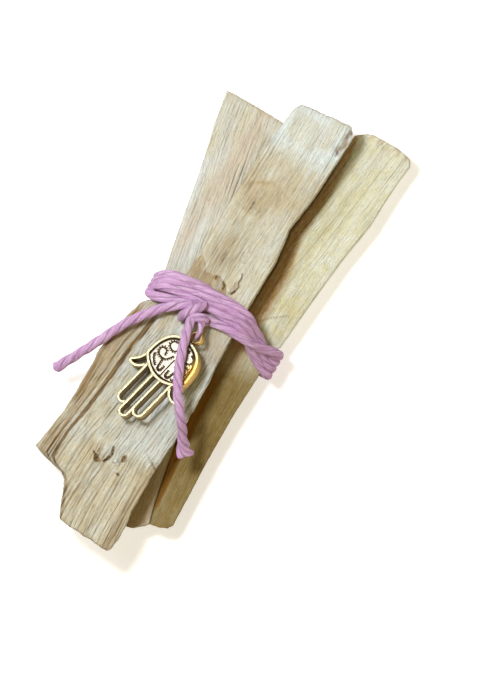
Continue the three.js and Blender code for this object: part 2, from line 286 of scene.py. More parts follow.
def woodMaterial(name, look):
    # The ground runs between pale and cream in long patches. Ragged flakes of tan and of white lie over it,
    # each with a thin dark rim on one side. Strands, fibres, hairlines and flecks along the grain darken it
    # by their own shares, and the values kept on the mesh bring in tan, white, brown and dark cracks, and
    # painted shade and shadow in brown and dark where the sticks put it there.
    look = {key: shade(*value) if isinstance(value, tuple) else value for key, value in look.items()}
    bench = Bench(name)
    warm, brown, dark, pale = (bench.value(label) for label in ("warm", "brown", "dark", "pale"))

    def field(across, along, detail, rough):
        # a cloud drawn out along the grain
        where = bench.place("flow", (across, along * look["short"], across))
        return bench.cloud(where, detail=detail, rough=rough)

    broad = field(0.2, 0.045, 2.0, 0.5).rise(0.35, 0.65)
    tanField = field(0.36, 0.11, 6.0, 0.62)
    whiteField = field(0.5, 0.13, 5.0, 0.6)
    mottle = field(0.8, 0.27, 4.0, 0.6).rise(0.4, 0.62)
    strand = field(1.5, 0.1, 3.0, 0.6).rise(0.32, 0.7)
    fibre = field(3.6, 0.3, 3.0, 0.65).rise(0.36, 0.68)
    hair = field(7.5, 0.2, 2.0, 0.55).rise(0.56, 0.7)
    fleck = field(5.0, 0.75, 2.0, 0.6).rise(0.57, 0.72)
    tanShare = tanField.rise(0.44, 0.6)
    whiteShare = whiteField.rise(0.44, 0.6)
    rim = tanField.rise(0.485, 0.5) * (1 - tanField.rise(0.5, 0.515))
    ground = bench.mix(broad, look["pale"], look["cream"])
    layers = [
        (mottle * look["mottle"], "blush"),
        (tanShare * (look["flake"] + warm * 0.35), "tan"),
        (whiteShare * (1 - warm) * look["blotch"], "white"),
        (pale * (0.75 + (1 - strand) * 0.25), "white"),
        (warm * (look["even"] + mottle * (1 - look["even"])), "tan"),
        (warm * (0.4 + strand * 0.6) * broad * 0.45, "pink"),
        (strand * look["streak"], "streakColour"),
        (fibre * (1 - pale * 0.5) * look["line"], "lineColour"),
        (hair * (1 - pale * 0.5) * look["hair"], "dark"),
        (fleck * look["fleck"], "dark"),
        (rim * look["rim"], "brown"),
        # brown and dark bring in stains and cracks, and also painted shade and shadow where the sticks put it
        (brown * (0.7 + fibre * 0.3), "brown"),
        (dark, "dark"),
    ]
    for share, colour in layers:
        ground = bench.mix(share, ground, look[colour])
    height = fibre * 0.4 + fleck * 0.5 + strand * 0.35 + hair * 0.5 + tanShare * 0.35
    bench.shader.inputs["Specular IOR Level"].default_value = 0.2
    return bench.finish(ground, 0.9 - brown * 0.1, 1 - height, look["bump"], 0.00014)


# The camera and the room

camera = {
    "middle": (9.4, -1.5, 18.0),    # the point it looks down on
    "tall": 154.0,                  # how much of the plane through that point the picture's height takes in
    "lens": 480.0,
    "sensor": 36.0,
    "turn": 29.92,                  # degrees by which the row frame lies turned in the picture
}


def addCamera():
    # straight above the point it looks down on
    data = bpy.data.cameras.new("camera")
    data.lens = camera["lens"]
    data.sensor_width = camera["sensor"]
    data.clip_start, data.clip_end = 0.01, 10
    eye = placed("camera", data)
    away = camera["tall"] * camera["lens"] / camera["sensor"]
    x, y, z = camera["middle"]
    eye.location = (x * mm, y * mm, (z + away) * mm)
    eye.rotation_euler = (0, 0, math.radians(camera["turn"]))
    bpy.context.scene.camera = eye


lights = {
    # the way each one comes from, its distance and side, its power in watts and its colour
    "key": {
        "from": (-0.34, 0.09, 1.0), "away": 560.0, "size": 82.0, "power": 2.35, "colour": (0.97, 1.0, 1.09),
    },
    "softbox": {
        "from": (-0.57, 0.15, 0.81), "away": 600.0, "size": 420.0, "power": 1.0, "colour": (0.95, 1.0, 1.13),
    },
    "fill": {
        "from": (0.8, -0.35, 1.2), "away": 620.0, "size": 400.0, "power": 0.45, "colour": (1.0, 0.82, 0.44),
    },
}
room = {
    "sky": (1.0, 0.79, 0.42, 1.0),
    "skyPower": 0.28,
    "floor": shade(225, 225, 224),
    "floorGlow": 0.55,
    "glowColour": (1.0, 0.99, 0.97, 1.0),
    "floorSize": 3000.0,
}


def addRoom():
    # square lights that face the origin, an even sky and a wide pale floor
    for name, spec in lights.items():
        data = bpy.data.lights.new(name, "AREA")
        data.energy = spec["power"]
        data.size = spec["size"] * mm
        data.color = spec["colour"]
        lamp = placed(name, data)
        way = np.array(spec["from"]) / np.linalg.norm(spec["from"])
        lamp.location = [float(v) for v in way * spec["away"] * mm]
        lamp.rotation_euler = (0, math.acos(way[2]), math.atan2(way[1], way[0]))
    world = bpy.data.worlds.new("room")
    world.use_nodes = True
    world.node_tree.nodes["Background"].inputs[0].default_value = room["sky"]
    world.node_tree.nodes["Background"].inputs[1].default_value = room["skyPower"]
    bpy.context.scene.world = world
    bpy.context.scene.view_settings.view_transform = "Standard"
    half = room["floorSize"] / 2 * mm
    mesh = bpy.data.meshes.new("floor")
    corners = [(-half, -half, 0), (half, -half, 0), (half, half, 0), (-half, half, 0)]
    mesh.from_pydata(corners, [], [(0, 1, 2, 3)])
    bench = Bench("floorPaint")
    bench.shader.inputs["Emission Color"].default_value = room["glowColour"]
    bench.shader.inputs["Emission Strength"].default_value = room["floorGlow"]
    mesh.materials.append(bench.finish(room["floor"], 0.9))
    floor = placed("floor", mesh)


addCamera()
addRoom()
print("camera and room")

# The cord

cord = {
    "radius": 1.12,
    "plies": 3,
    "plySize": 0.74,        # a ply's radius and the distance of its middle, as shares of the cord's radius
    "plyPlace": 0.3,
    "lay": 21.0,            # length of one twist
    "around": 48,
    "step": 0.24,
    "fibre": 0.075,         # height of the fibres' relief
    "lumps": 0.06,
    "blunt": 0.35,          # share of the radius over which an end closes
    "swollen": 2.2,         # length over which a thicker end thins out
    "opening": 4.5,         # length over which the plies of an opened end part
    "leaning": 5.5,         # and over which they lean out
    "tightLay": 12.0,       # a shorter lay counts as tight; shade of the creases in a tight and a loose one
    "tightCrease": 0.75,
    "looseCrease": 0.55,
    "lilac": shade(212, 160, 212),
    "shadow": shade(120, 66, 100),
    "light": shade(240, 208, 240),
}


def cordMaterial(name, look):
    # Lilac yarn: long soft fibres that run along each ply, with painted shade in the creases between plies, a
    # few short darker dashes that are stronger in the creases, and paler crowns.
    bench = Bench(name)
    crease = bench.value("crease")
    long = bench.cloud(bench.place("yarn", (2.0, 0.16, 2.0)), detail=4.0, rough=0.65).rise(0.38, 0.62)
    fine = bench.cloud(bench.place("yarn", (6.5, 0.5, 6.5)), detail=3.0, rough=0.65).rise(0.32, 0.68)
    dash = bench.cloud(bench.place("yarn", (2.6, 0.42, 2.6)), detail=3.0, rough=0.6).rise(0.56, 0.68)
    ground = bench.mix(long * 0.6 + fine * 0.35, look["lilac"], look["light"])
    ground = bench.mix((1 - fine) * 0.26, ground, look["shadow"])
    ground = bench.mix(dash * (0.35 + crease * 0.6), ground, look["shadow"])
    # painted shade in the creases between plies
    ground = bench.mix(crease, ground, look["shadow"])
    bench.shader.inputs["Specular IOR Level"].default_value = 0.1
    return bench.finish(ground, 0.95, fine * 0.6 + long * 0.4, 0.9, 0.00022)


cordLook = cordMaterial("lilacCotton", cord)


def frameAlong(line, up):
    # unit vectors along a line, to its side and over it
    along = directions(line)
    side = np.cross(along, np.array(up, float))
    side /= np.linalg.norm(side, axis=1, keepdims=True)
    return along, side, np.cross(side, along)


strand = {
    # what a piece of cord is made with unless it is told otherwise
    "radius": cord["radius"],
    "lay": cord["lay"],
    "plies": cord["plies"],
    "around": cord["around"],
    "ends": (1.0, 1.0),     # how much thicker each end is
    "start": 0.0,           # turn of the plies at the beginning
    "up": (0, 0, 1),
    "swell": ((0, 1), (1, 1)),
    "parting": 0.0,         # how far the plies part at the last end
    "splay": (0, 0, 0),     # which way they lean there
}


def twistedCord(name, route, **changes):
    # A profile carried along a route: the outline of several round plies side by side, turned steadily as it
    # goes, with fine ridges that follow each ply. Both ends draw in to a point over about a radius.
    spec = dict(strand, **changes)
    radius, ends, splay = spec["radius"], spec["ends"], np.array(spec["splay"], float)
    line, run = smoothRoute(route, cord["step"] * min(1, radius / cord["radius"] * 1.5))
    along, side, over = frameAlong(line, spec["up"])
    turn = np.linspace(0, 2 * math.pi, spec["around"], endpoint=False)[None, :]
    local = turn - (2 * math.pi * run / spec["lay"] + spec["start"])[:, None]
    sector = 2 * math.pi / spec["plies"]
    fromPly = np.mod(local + sector / 2, sector) - sector / 2
    whichPly = np.floor(np.mod(local + sector / 2, 2 * math.pi) / sector)
    at = run[:, None]

    # towards an opened end the plies part, each becoming thinner and standing further out
    parted = ease(at, run[-1] - cord["opening"], run[-1]) * spec["parting"]
    put, size = cord["plyPlace"] + 0.3 * parted, cord["plySize"] - 0.24 * parted
    reach = put * np.cos(fromPly) + np.sqrt(np.maximum(size ** 2 - (put * np.sin(fromPly)) ** 2, 0.02))
    across = fromPly * radius
    fibres = noise(across / 0.2 + whichPly * 31, at / 3.0, 5)
    fibres = fibres + 0.5 * noise(across / 0.1 + whichPly * 17, at / 1.6, 8) - 0.75
    lumps = wave(np.cos(local) * 1.3 + 7, at / 1.7, 6)
    rest = run[-1] - run
    taper = np.clip(np.minimum(run, rest) / (cord["blunt"] * radius), 0, 1)
    blunt = np.sqrt(np.clip(1 - (1 - taper) ** 2, 0.16, 1))[:, None]
    swollen = cord["swollen"]
    grow = 1 + (ends[0] - 1) * np.exp(-run / swollen) + (ends[1] - 1) * np.exp(-rest / swollen)
    grow = grow * np.interp(run / run[-1], *zip(*spec["swell"]))
    reach = reach * radius / (put + size) * grow[:, None] * blunt
    reach = reach + (cord["fibre"] * fibres + cord["lumps"] * lumps * radius) * blunt
    reach = reach + 0.5 * parted * radius * (noise(local * 2.2, at / 3.0, 4) - 0.35)
    points = (
        line[:, None, :]
        + side[:, None, :] * (reach * np.cos(turn))[..., None]
        + over[:, None, :] * (reach * np.sin(turn))[..., None]
    )
    # the side of the last few millimetres that faces the splay leans out that way
    leaning = np.clip((points - line[:, None, :]) @ (splay / radius ** 2), 0, 1.4)
    points = points + (leaning * ease(at, run[-1] - cord["leaning"], run[-1] + 1))[..., None] * splay

    # the crease's shade and the place in the yarn, for the material
    deepest = cord["tightCrease"] if spec["lay"] < cord["tightLay"] else cord["looseCrease"]
    crease = deepest * ease(np.abs(fromPly) / (sector / 2), 0.82, 1.0)
    crease = crease * mottled(whichPly * 5, at / 2.2, 9, 0.25, 0.7)
    yarn = np.stack(np.broadcast_arrays(across + whichPly * 9.0, at, whichPly * 5.0), axis=-1)
    squares, fans = ringFaces(len(run), spec["around"])
    tips = np.stack([line[0] - 0.02 * along[0], line[-1] + 0.02 * along[-1]])
    values = {
        "crease": np.concatenate([crease.ravel(), [0.4, 0.4]]),
        "yarn": np.concatenate([yarn.reshape(-1, 3), yarn[[0, -1], 0]]),
    }
    whole = np.concatenate([points.reshape(-1, 3), tips])
    return makePiece(name, whole, squares, fans, cordLook, values), line


# each tail starts in its stub on the knot, and from its exit on it is the free cord
leftTailRoute = [
    (-4.2, 1.7, 21.2), (-6.4, 0.75, 21.5), (-8.6, -0.8, 21.5), (-9.9, -2.0, 21.3), (-10.75, -2.95, 21.02),
    (-12.1, -4.6, 20.5), (-13.9, -6.9, 19.9), (-15.6, -9.5, 19.1), (-17.0, -12.2, 18.3), (-18.6, -15.4, 17.1),
    (-20.4, -18.8, 15.5), (-22.3, -22.3, 13.5), (-24.0, -25.3, 11.5),
]
downTailRoute = [
    (-3.0, 0.2, 21.8), (-3.15, -1.2, 22.9), (-2.95, -2.8, 24.13), (-2.6, -4.1, 25.0), (-2.1, -6.1, 25.9),
    (-1.25, -8.8, 26.4), (-0.35, -11.1, 26.9), (0.7, -13.5, 27.4), (1.9, -15.8, 27.9), (3.1, -17.7, 28.3),
    (4.6, -19.6, 28.1), (6.0, -21.4, 26.5), (7.3, -23.2, 23.9), (8.6, -25.4, 21.5), (10.2, -28.1, 19.4),
]
leftExit = (-10.5, -2.65, 21.1)
downExit = (-3.0, -2.4, 23.85)


def addTail(name, node, route, leaves, **changes):
    # a free end of the cord; the point where it leaves the knot's solid is given but not used
    piece, line = twistedCord(name, route, **changes)
    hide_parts(node)
    2 * cord["radius"] * mm


leftEnd = {"lay": 12.5, "ends": (1.0, 1.2), "start": 0.4, "parting": 0.1}
downEnd = {"lay": 11.0, "ends": (1.0, 1.3), "start": 1.1, "parting": 1.0, "splay": (0.75, 0.95, 0)}
addTail("cord_left_tail", "cord_tail_left", leftTailRoute, leftExit, **leftEnd)
addTail("cord_down_tail", "cord_tail_down", downTailRoute, downExit, **downEnd)

# one turn round the bundle: x and z of the cord's middle, y of the uppermost turn, spacing of the turns,
# and how far the cord has moved on to the place of the next turn
belt = [
    (-14.3, 7.0, 3.5, 1.3, 0), (-14.3, 10.2, 3.5, 1.3, 0), (-14.1, 13.8, 3.8, 1.3, 0),
    (-13.1, 17.8, 4.6, 1.4, 0), (-10.4, 20.2, 5.7, 1.5, 0), (-5.0, 20.2, 6.25, 1.55, 0),
    (0, 20.2, 6.3, 1.55, 0), (4.6, 20.2, 6.2, 1.55, 0), (7.4, 19.6, 5.6, 1.55, 0), (10.3, 16.9, 3.8, 1.6, 0),
    (13.3, 13.9, 1.8, 1.6, 0), (15.6, 11.7, 0.6, 1.65, 0), (16.9, 10.4, 0.2, 1.65, 0),
    (17.4, 8.8, 0.1, 1.65, 0), (17.4, 4.0, 0.1, 1.65, 0), (17.0, 2.2, 0.2, 1.65, 0.05),
    (15.7, 1.45, 0.4, 1.7, 0.12), (9.0, 1.45, 2.3, 2.0, 0.35), (0, 1.45, 3.6, 2.0, 0.6),
    (-8.0, 1.45, 4.0, 1.7, 0.85), (-12.7, 1.5, 3.7, 1.45, 0.97), (-13.9, 2.2, 3.5, 1.35, 1),
    (-14.3, 3.9, 3.5, 1.3, 1),
]
fromKnot = [
    (-1.8, 0.7, 20.6), (1.4, 0.8, 20.3), (4.8, 1.1, 20.3), (7.6, 1.1, 20.3), (10.4, 0.9, 18.9),
    (13.4, 1.2, 15.9), (15.8, 1.7, 13.2), (17.1, 1.8, 11.1),
]
backToKnot = [
    (-14.2, -0.4, 7.0), (-14.2, -0.4, 10.2), (-14.2, -0.4, 13.6), (-14.0, -0.5, 16.9), (-13.0, -0.5, 19.1),
    (-10.9, 0.0, 20.3), (-8.2, 0.9, 20.3), (-5.6, 1.6, 20.3), (-3.4, 1.6, 20.6),
]


def wrapsRoute():
    # from the knot four times round the belt and back; the third turn lies a little higher on the front
    points = list(fromKnot)
    for turn in range(4):
        for x, z, y, spacing, onward in belt[13 if turn == 0 else 0:]:
            pile = 0.3 if turn == 2 and z > 19 else 0
            points.append((x, y - spacing * (turn + onward - 1), z + pile))
    return points + backToKnot


knot = {
    "band": [
        (-5.2, -1.9, 20.0), (-5.2, -1.2, 21.4), (-4.8, -0.3, 22.5), (-4.1, 0.7, 23.0), (-3.3, 1.7, 22.9),
        (-2.6, 2.6, 22.1), (-2.2, 3.3, 20.9),
    ],
    "loop": [
        (-3.5, -0.8, 20.6), (-3.2, -0.5, 22.2), (-2.5, 0.0, 23.2), (-1.6, 0.3, 23.5), (-0.8, 0.3, 22.9),
        (-0.5, 0.1, 21.8), (-0.6, 0.0, 20.6),
    ],
    "ply": [
        (-1.0, -0.4, 22.8), (-0.6, -1.3, 24.0), (-0.3, -2.4, 24.75), (-0.25, -3.4, 24.75),
        (-0.15, -3.95, 24.1), (-0.02, -4.1, 22.85), (0.1, -4.1, 21.7), (0.1, -3.4, 21.0), (-0.1, -2.4, 20.8),
        (-0.6, -1.2, 20.8), (-1.2, 0.0, 20.9),
    ],
}


def addWraps():
    # the turns round the bundle, and the knot's band, its loop and the thin ply that holds the charm
    turns, _ = twistedCord("cord_turns", wrapsRoute(), up=(0, 1, 0))
    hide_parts("cord_wraps")
    twistedCord("knot_band", knot["band"], lay=7.5, start=0.9, up=(1, 0, 0))
    twistedCord("knot_loop", knot["loop"], lay=7.0, start=2.0, up=(0, 1, 0))
    thin = {"radius": 0.42, "lay": 5.0, "plies": 2, "around": 18}
    swell = ((0, 2.1), (0.15, 1.7), (0.3, 1.1), (0.4, 0.9), (1, 1))
    twistedCord("knot_ply", knot["ply"], up=(1, 0, 0), swell=swell, **thin)


addWraps()
print("cord")

# The wood, one general stick


def stations(counts, arcs):
    # Round the section of a stick: its face from left to right, its right wall downwards, its underside and
    # its left wall, with an arc at each corner. Gives the share across, the share up, and the outward way.
    face, wall, under = counts
    bend = (np.arange(arcs) + 1) / (arcs + 1) * math.pi / 2
    across, up, turn = [], [], []
    for side, count in enumerate((face, wall, under, wall)):
        share = np.linspace(0, 1, count)
        nothing = np.zeros(count)
        across.append([share, nothing + 1, 1 - share, nothing][side])
        up.append([nothing + 1, 1 - share, nothing, share][side])
        turn.append(nothing + side * math.pi / 2)
        across.append(np.full(arcs, [1, 1, 0, 0][side]))
        up.append(np.full(arcs, [1, 0, 0, 1][side]))
        turn.append(side * math.pi / 2 + bend)
    across, up, turn = (np.concatenate(part).astype(float) for part in (across, up, turn))
    return across, up, np.sin(turn), np.cos(turn)


def grooves(u, v, seed, gap, run, width, often=0.42):
    # Thin lines along the grain. The places where a wandering count of u passes a half are the lines; each
    # has its own strength, which comes and goes along v, and its own width.
    count = u / gap + 1.1 * noise(u / (2.6 * gap), v / (1.2 * run), seed)
    count = count + 0.3 * noise(u / gap, v / (0.35 * run), seed + 1)
    which = np.floor(count)
    off = (count - which - 0.5) * gap
    strength = mottled(which * 7.3, v / run, seed + 2, often, often + 0.38)
    wide = width * (0.55 + 0.9 * noise(which * 3.1, v / (0.5 * run), seed + 3))
    return strength * bell(off, wide)


def rowsOf(low, high, pitch, close=()):
    # rows from low to high at a pitch, closer together within the given stretches: (from, to, pitch)
    at, rows = low, [low]
    while at < high - 1e-6:
        step = min([pitch] + [p for a, b, p in close if a <= at <= b])
        at = min(high, at + step)
        rows.append(at)
    return np.array(rows)


stickEnds = {
    "cap": (0.985, 0.93, 0.82, 0.64, 0.42, 0.2),    # shares by which the closing rings draw in
    "reach": 4.0,           # length over which an end's own outline shifts the rows
    "rounding": 0.12,
    "saw": ((0.16, 0.5, 2.6, 61), (0.1, 0.18, 0.3, 62)),    # roughness: height, size across and up, seed
    "ringPitch": 1.3,       # growth rings, round a point to one side of the section and below it
    "ringCentre": (9, -14),
    "stainAndShadow": 0.35,          # how far the ends' darker edge runs along the wood
}


def endShift(x, end):
    # how far an end stands out along Y: a broken line across x, and waves of (height, length, row, seed)
    shift = np.interp(x, *zip(*end["line"]))
    for height, length, row, seed in end["waves"]:
        shift = shift + height * wave(x / length, row, seed)
    return shift


def closedRows(y):
    # the rows with those of the closing rings at both ends, how far each draws in, and the end it belongs to
    cap = np.array(stickEnds["cap"])
    ones = np.ones(len(cap))
    rowY = np.concatenate([y[0] * ones, y, y[-1] * ones])
    shrink = np.concatenate([cap[::-1], np.ones(len(y)), cap])
    side = np.concatenate([-ones, np.zeros(len(y)), ones])
    return rowY, shrink[:, None], side[:, None]


def endColours(away, rim, endBrown):
    # the cut ends show rings: a sine of the distance from their centre, and are browner round the rim
    rings = 0.5 + 0.5 * np.sin(away * 2 * math.pi / stickEnds["ringPitch"])
    brown = endBrown * (0.35 + 0.25 * rings + 0.3 * rim)
    return {"warm": 0.3, "pale": 0.0, "brown": brown, "dark": 0.12 * rings}


def splitStick(name, node, spec):
    # A section carried along Y. Its left and right edges and its heights come from the stick's own functions
    # of y, the face adds its relief upwards, the walls add theirs sideways, and rings close the ends.
    across, up, outX, outZ = stations(spec["counts"], 4)
    rows, corner = spec["rows"], spec["corner"]
    rowY, shrink, side = closedRows(rows)
    y = rowY[:, None] + 0 * across
    left, right = (spec[edge](rowY)[:, None] for edge in ("left", "right"))
    inner = left + corner + across * (right - left - 2 * corner)
    top = spec["face"](inner, y) - corner
    bottom = spec["under"](rowY)[:, None] + corner
    x = inner + outX * corner
    z = bottom + up * (top - bottom) + outZ * corner
    u, v = spec["flow"](x, y)

    # the face's relief and colours run on down the walls as if they were unrolled
    wall = np.abs(outX) ** 2
    unrolled = x + np.sign(outX) * wall * (top + corner - z) * 0.6
    unrolledU, _ = spec["flow"](unrolled, y)
    rise, marks = spec["relief"](unrolled, y, unrolledU, v)
    z = z + rise * np.clip(outZ, 0, 1) ** 2
    x = x + np.sign(outX) * spec["wall"](z, y, outX) * wall

    # the ends: each vertex of the last rows moves along by the end's own outline
    middleX, middleZ = (left + right) / 2, (top + bottom) / 2
    x = middleX + (x - middleX) * shrink
    z = middleZ + (z - middleZ) * shrink
    last = ease(y, rows[-1] - stickEnds["reach"], rows[-1])
    first = ease(-y, -rows[0] - stickEnds["reach"], -rows[0])
    shift = last * endShift(x, spec["upperEnd"]) + first * endShift(x, spec["lowerEnd"])
    rough = np.abs(side) * waves(x, z, stickEnds["saw"])
    rounding = side * stickEnds["rounding"] * (1 - shrink) ** 0.5
    points = np.stack([x, y + shift + rough + rounding, z], axis=-1)

    # colours: a brown rim round both ends, rings on them, and the place in the grain for the clouds
    capped = np.broadcast_to(shrink < 1, x.shape)
    rim = np.exp(-(1 - shrink) / 0.05) * np.abs(side)
    toEnd = np.minimum(rows[-1] - y, y - rows[0])
    ends = 0.5 * rim + 0.45 * np.exp(-toEnd / stickEnds["stainAndShadow"]) + 0.25 * np.abs(side)
    marks["brown"] = np.clip(marks["brown"] + spec["endBrown"] * ends, 0, 1)
    ringX, ringZ = stickEnds["ringCentre"]
    away = np.hypot(x - middleX - ringX, z - middleZ - ringZ) + 0.8 * noise(x / 3, z / 3, 63)
    capMarks = endColours(away, rim, spec["endBrown"])
    values = {}
    for key, value in marks.items():
        value = np.where(capped, capMarks[key], value)
        values[key] = np.concatenate([value.ravel(), [value[0].mean(), value[-1].mean()]])
    capU, capV = spec["flow"](x, y)
    depth = np.where((outZ > 0.7) & ~capped, spec["grainDepth"], z)
    flow = np.stack([np.where(capped, capU, u), np.where(capped, capV, v), depth], axis=-1)
    values["flow"] = np.concatenate([flow.reshape(-1, 3), flow[[0, -1], 0]])

    tips = np.stack([points[0].mean(axis=0), points[-1].mean(axis=0)])
    points = np.concatenate([points.reshape(-1, 3), tips])
    squares, fans = ringFaces(len(rowY), len(across))
    material = woodMaterial(name + "Wood", spec["look"])
    piece = makePiece(name, points, squares, fans, material, values)
    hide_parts(node)


def columnsOf(rows):
    # the columns of a table as functions of its first column
    table = np.array(sorted(rows))

    def column(k):
        def at(y):
            return np.interp(y, table[:, 0], table[:, k])
        return at

    return [column(k) for k in range(1, table.shape[1])]


def wavering(edge, height, length, seed):
    # an edge with a gentle wave of its own
    def at(y):
        return edge(y) + height * wave(y / length, 0, seed)
    return at


def swaying(left, right, sway, drift, seed):
    # u counts from the middle between two edges and sways and drifts a little, v runs along Y
    def flow(x, y):
        u = x - (left(y) + right(y)) / 2 + sway[0] * np.sin(y / sway[1])
        return u + drift[0] * wave(x / 6, y / drift[1], seed), y + 0 * x
    return flow


def roughWall(seed, size=1.0, splinters=0.35):
    # a wall of split wood: long bulges and thin grooves along the grain, and ragged splinters
    def wall(z, y, outX):
        side = outX > 0
        bulge = wave(z / 3.2 + 40 * side, y / 30, seed)
        ribs = wave(z / 0.8 + 17 * side, y / 16, seed + 1)
        thin = grooves(z + 23 * side, y, seed + 2, 1.0, 24, 0.12)
        ragged = waves(z, y, [(0.26, 1.1, 1.5, seed + 6), (0.2, 0.7, 0.6, seed + 7)])
        return size * (0.35 * bulge + 0.16 * ribs - 0.14 * thin) + splinters * ragged
    return wall


def calmed(wall, side):
    # the same wall, but where two sticks lie close together at the lower end one calm wave that both share
    def calm(z, y, outX):
        close = ease(-y, 6, 14) * (outX * side > 0)
        return wall(z, y, outX) * (1 - 0.95 * close) + close * side * 0.3 * np.sin(z * 1.1)
    return calm


def summed(parts, darkest):
    # adds up parts of (rise, strengths of the colours) and keeps the strengths within their limits
    marks = {}
    for colour, most in (("warm", 1), ("pale", 1), ("brown", 1), ("dark", darkest)):
        marks[colour] = np.clip(sum(part[1].get(colour, 0) for part in parts), 0, most)
    return sum(part[0] for part in parts), marks


heights = {
    "lowerFace": 9.2,       # face of the two lower sticks
    "upperUnder": 10.0,     # underside and face of the front stick
    "upperFace": 18.4,
    "arch": 3.0,            # how far the lower sticks' undersides rise over the cord
    "archMiddle": 0.8,
    "archFlat": 7.5,
    "archRamp": 18.0,
}


def archUnder(y):
    # the underside of the lower pair: raised over the cord, flat near both ends
    away = np.abs(y - heights["archMiddle"]) - heights["archFlat"]
    return heights["arch"] * fall(away, 0, heights["archRamp"])


# The front stick

frontLook = {
    # colours as on a screen, then how strongly each kind of mark shows
    "pale": (212, 214, 199), "cream": (208, 204, 177), "tan": (196, 184, 147), "pink": (186, 170, 152),
    "white": (224, 237, 236), "blush": (205, 197, 160), "streakColour": (190, 175, 146),
    "lineColour": (150, 133, 104), "brown": (146, 112, 56), "dark": (74, 54, 34),
    "even": 0.6, "mottle": 0.5, "flake": 0.22, "rim": 0.16, "blotch": 0.4, "streak": 0.16, "line": 0.26,
    "hair": 0.28, "fleck": 0.26, "short": 1.2, "bump": 0.8,
}
# y, left edge, foot of the face where the ledge begins, right edge
frontTable = [
    (-53.9, -6.5, -6.0, 5.9), (-53.2, -6.9, -6.4, 6.6), (-50.2, -7.9, -7.3, 6.9), (-47.7, -8.8, -8.2, 6.8),
    (-45.5, -9.9, -9.0, 6.6), (-44.4, -11.4, -10.2, 6.4), (-43.9, -13.6, -11.6, 6.4),
    (-43.1, -17.2, -13.4, 6.4), (-42.2, -19.1, -14.2, 6.4), (-38.1, -18.3, -14.2, 6.4),
    (-32.6, -17.4, -13.8, 6.5), (-27.1, -17.2, -12.9, 6.9), (-17.2, -17.4, -11.7, 7.0),
    (-12.8, -16.9, -11.2, 7.0), (-7.3, -15.8, -10.5, 6.8), (-3.2, -14.6, -9.9, 6.6),
    (-2.0, -13.6, -9.8, 6.5), (-1.5, -12.6, -9.7, 6.5), (0.6, -12.5, -9.6, 6.5), (1.8, -11.2, -9.3, 6.4),
    (3.6, -9.2, -8.6, 6.4), (7.0, -9.0, -8.4, 6.4), (19.1, -8.8, -8.2, 6.6), (26.8, -8.8, -8.2, 5.7),
    (36.7, -8.4, -7.8, 6.9), (46.6, -7.3, -6.7, 7.5), (50.6, -6.8, -6.2, 7.6), (51.9, -6.4, -5.8, 7.0),
    (52.7, -5.8, -5.2, 6.0),
]
frontLeft, frontFoot, frontRight = columnsOf(frontTable)
flowTable = [(-54, -14.8), (-42, -14.2), (-33, -13.8), (-17, -11.7), (-3, -9.9), (8, -8.6), (52, -7.0)]
flowFoot = columnsOf(flowTable)[0]
ledge = {
    # section of the ledge: how deep it lies, by the share of the way from the left edge to the foot
    "share": (0, 0.26, 0.31, 0.36, 0.55, 0.6, 0.66, 0.82, 0.87, 0.92, 0.99, 1.04),
    "drop": (2.6, 2.1, 2.4, 1.9, 1.7, 2.1, 1.35, 1.15, 1.5, 1.75, 1.6, 0),
}
rightStroke = [(6.0, -34), (5.4, -53)]
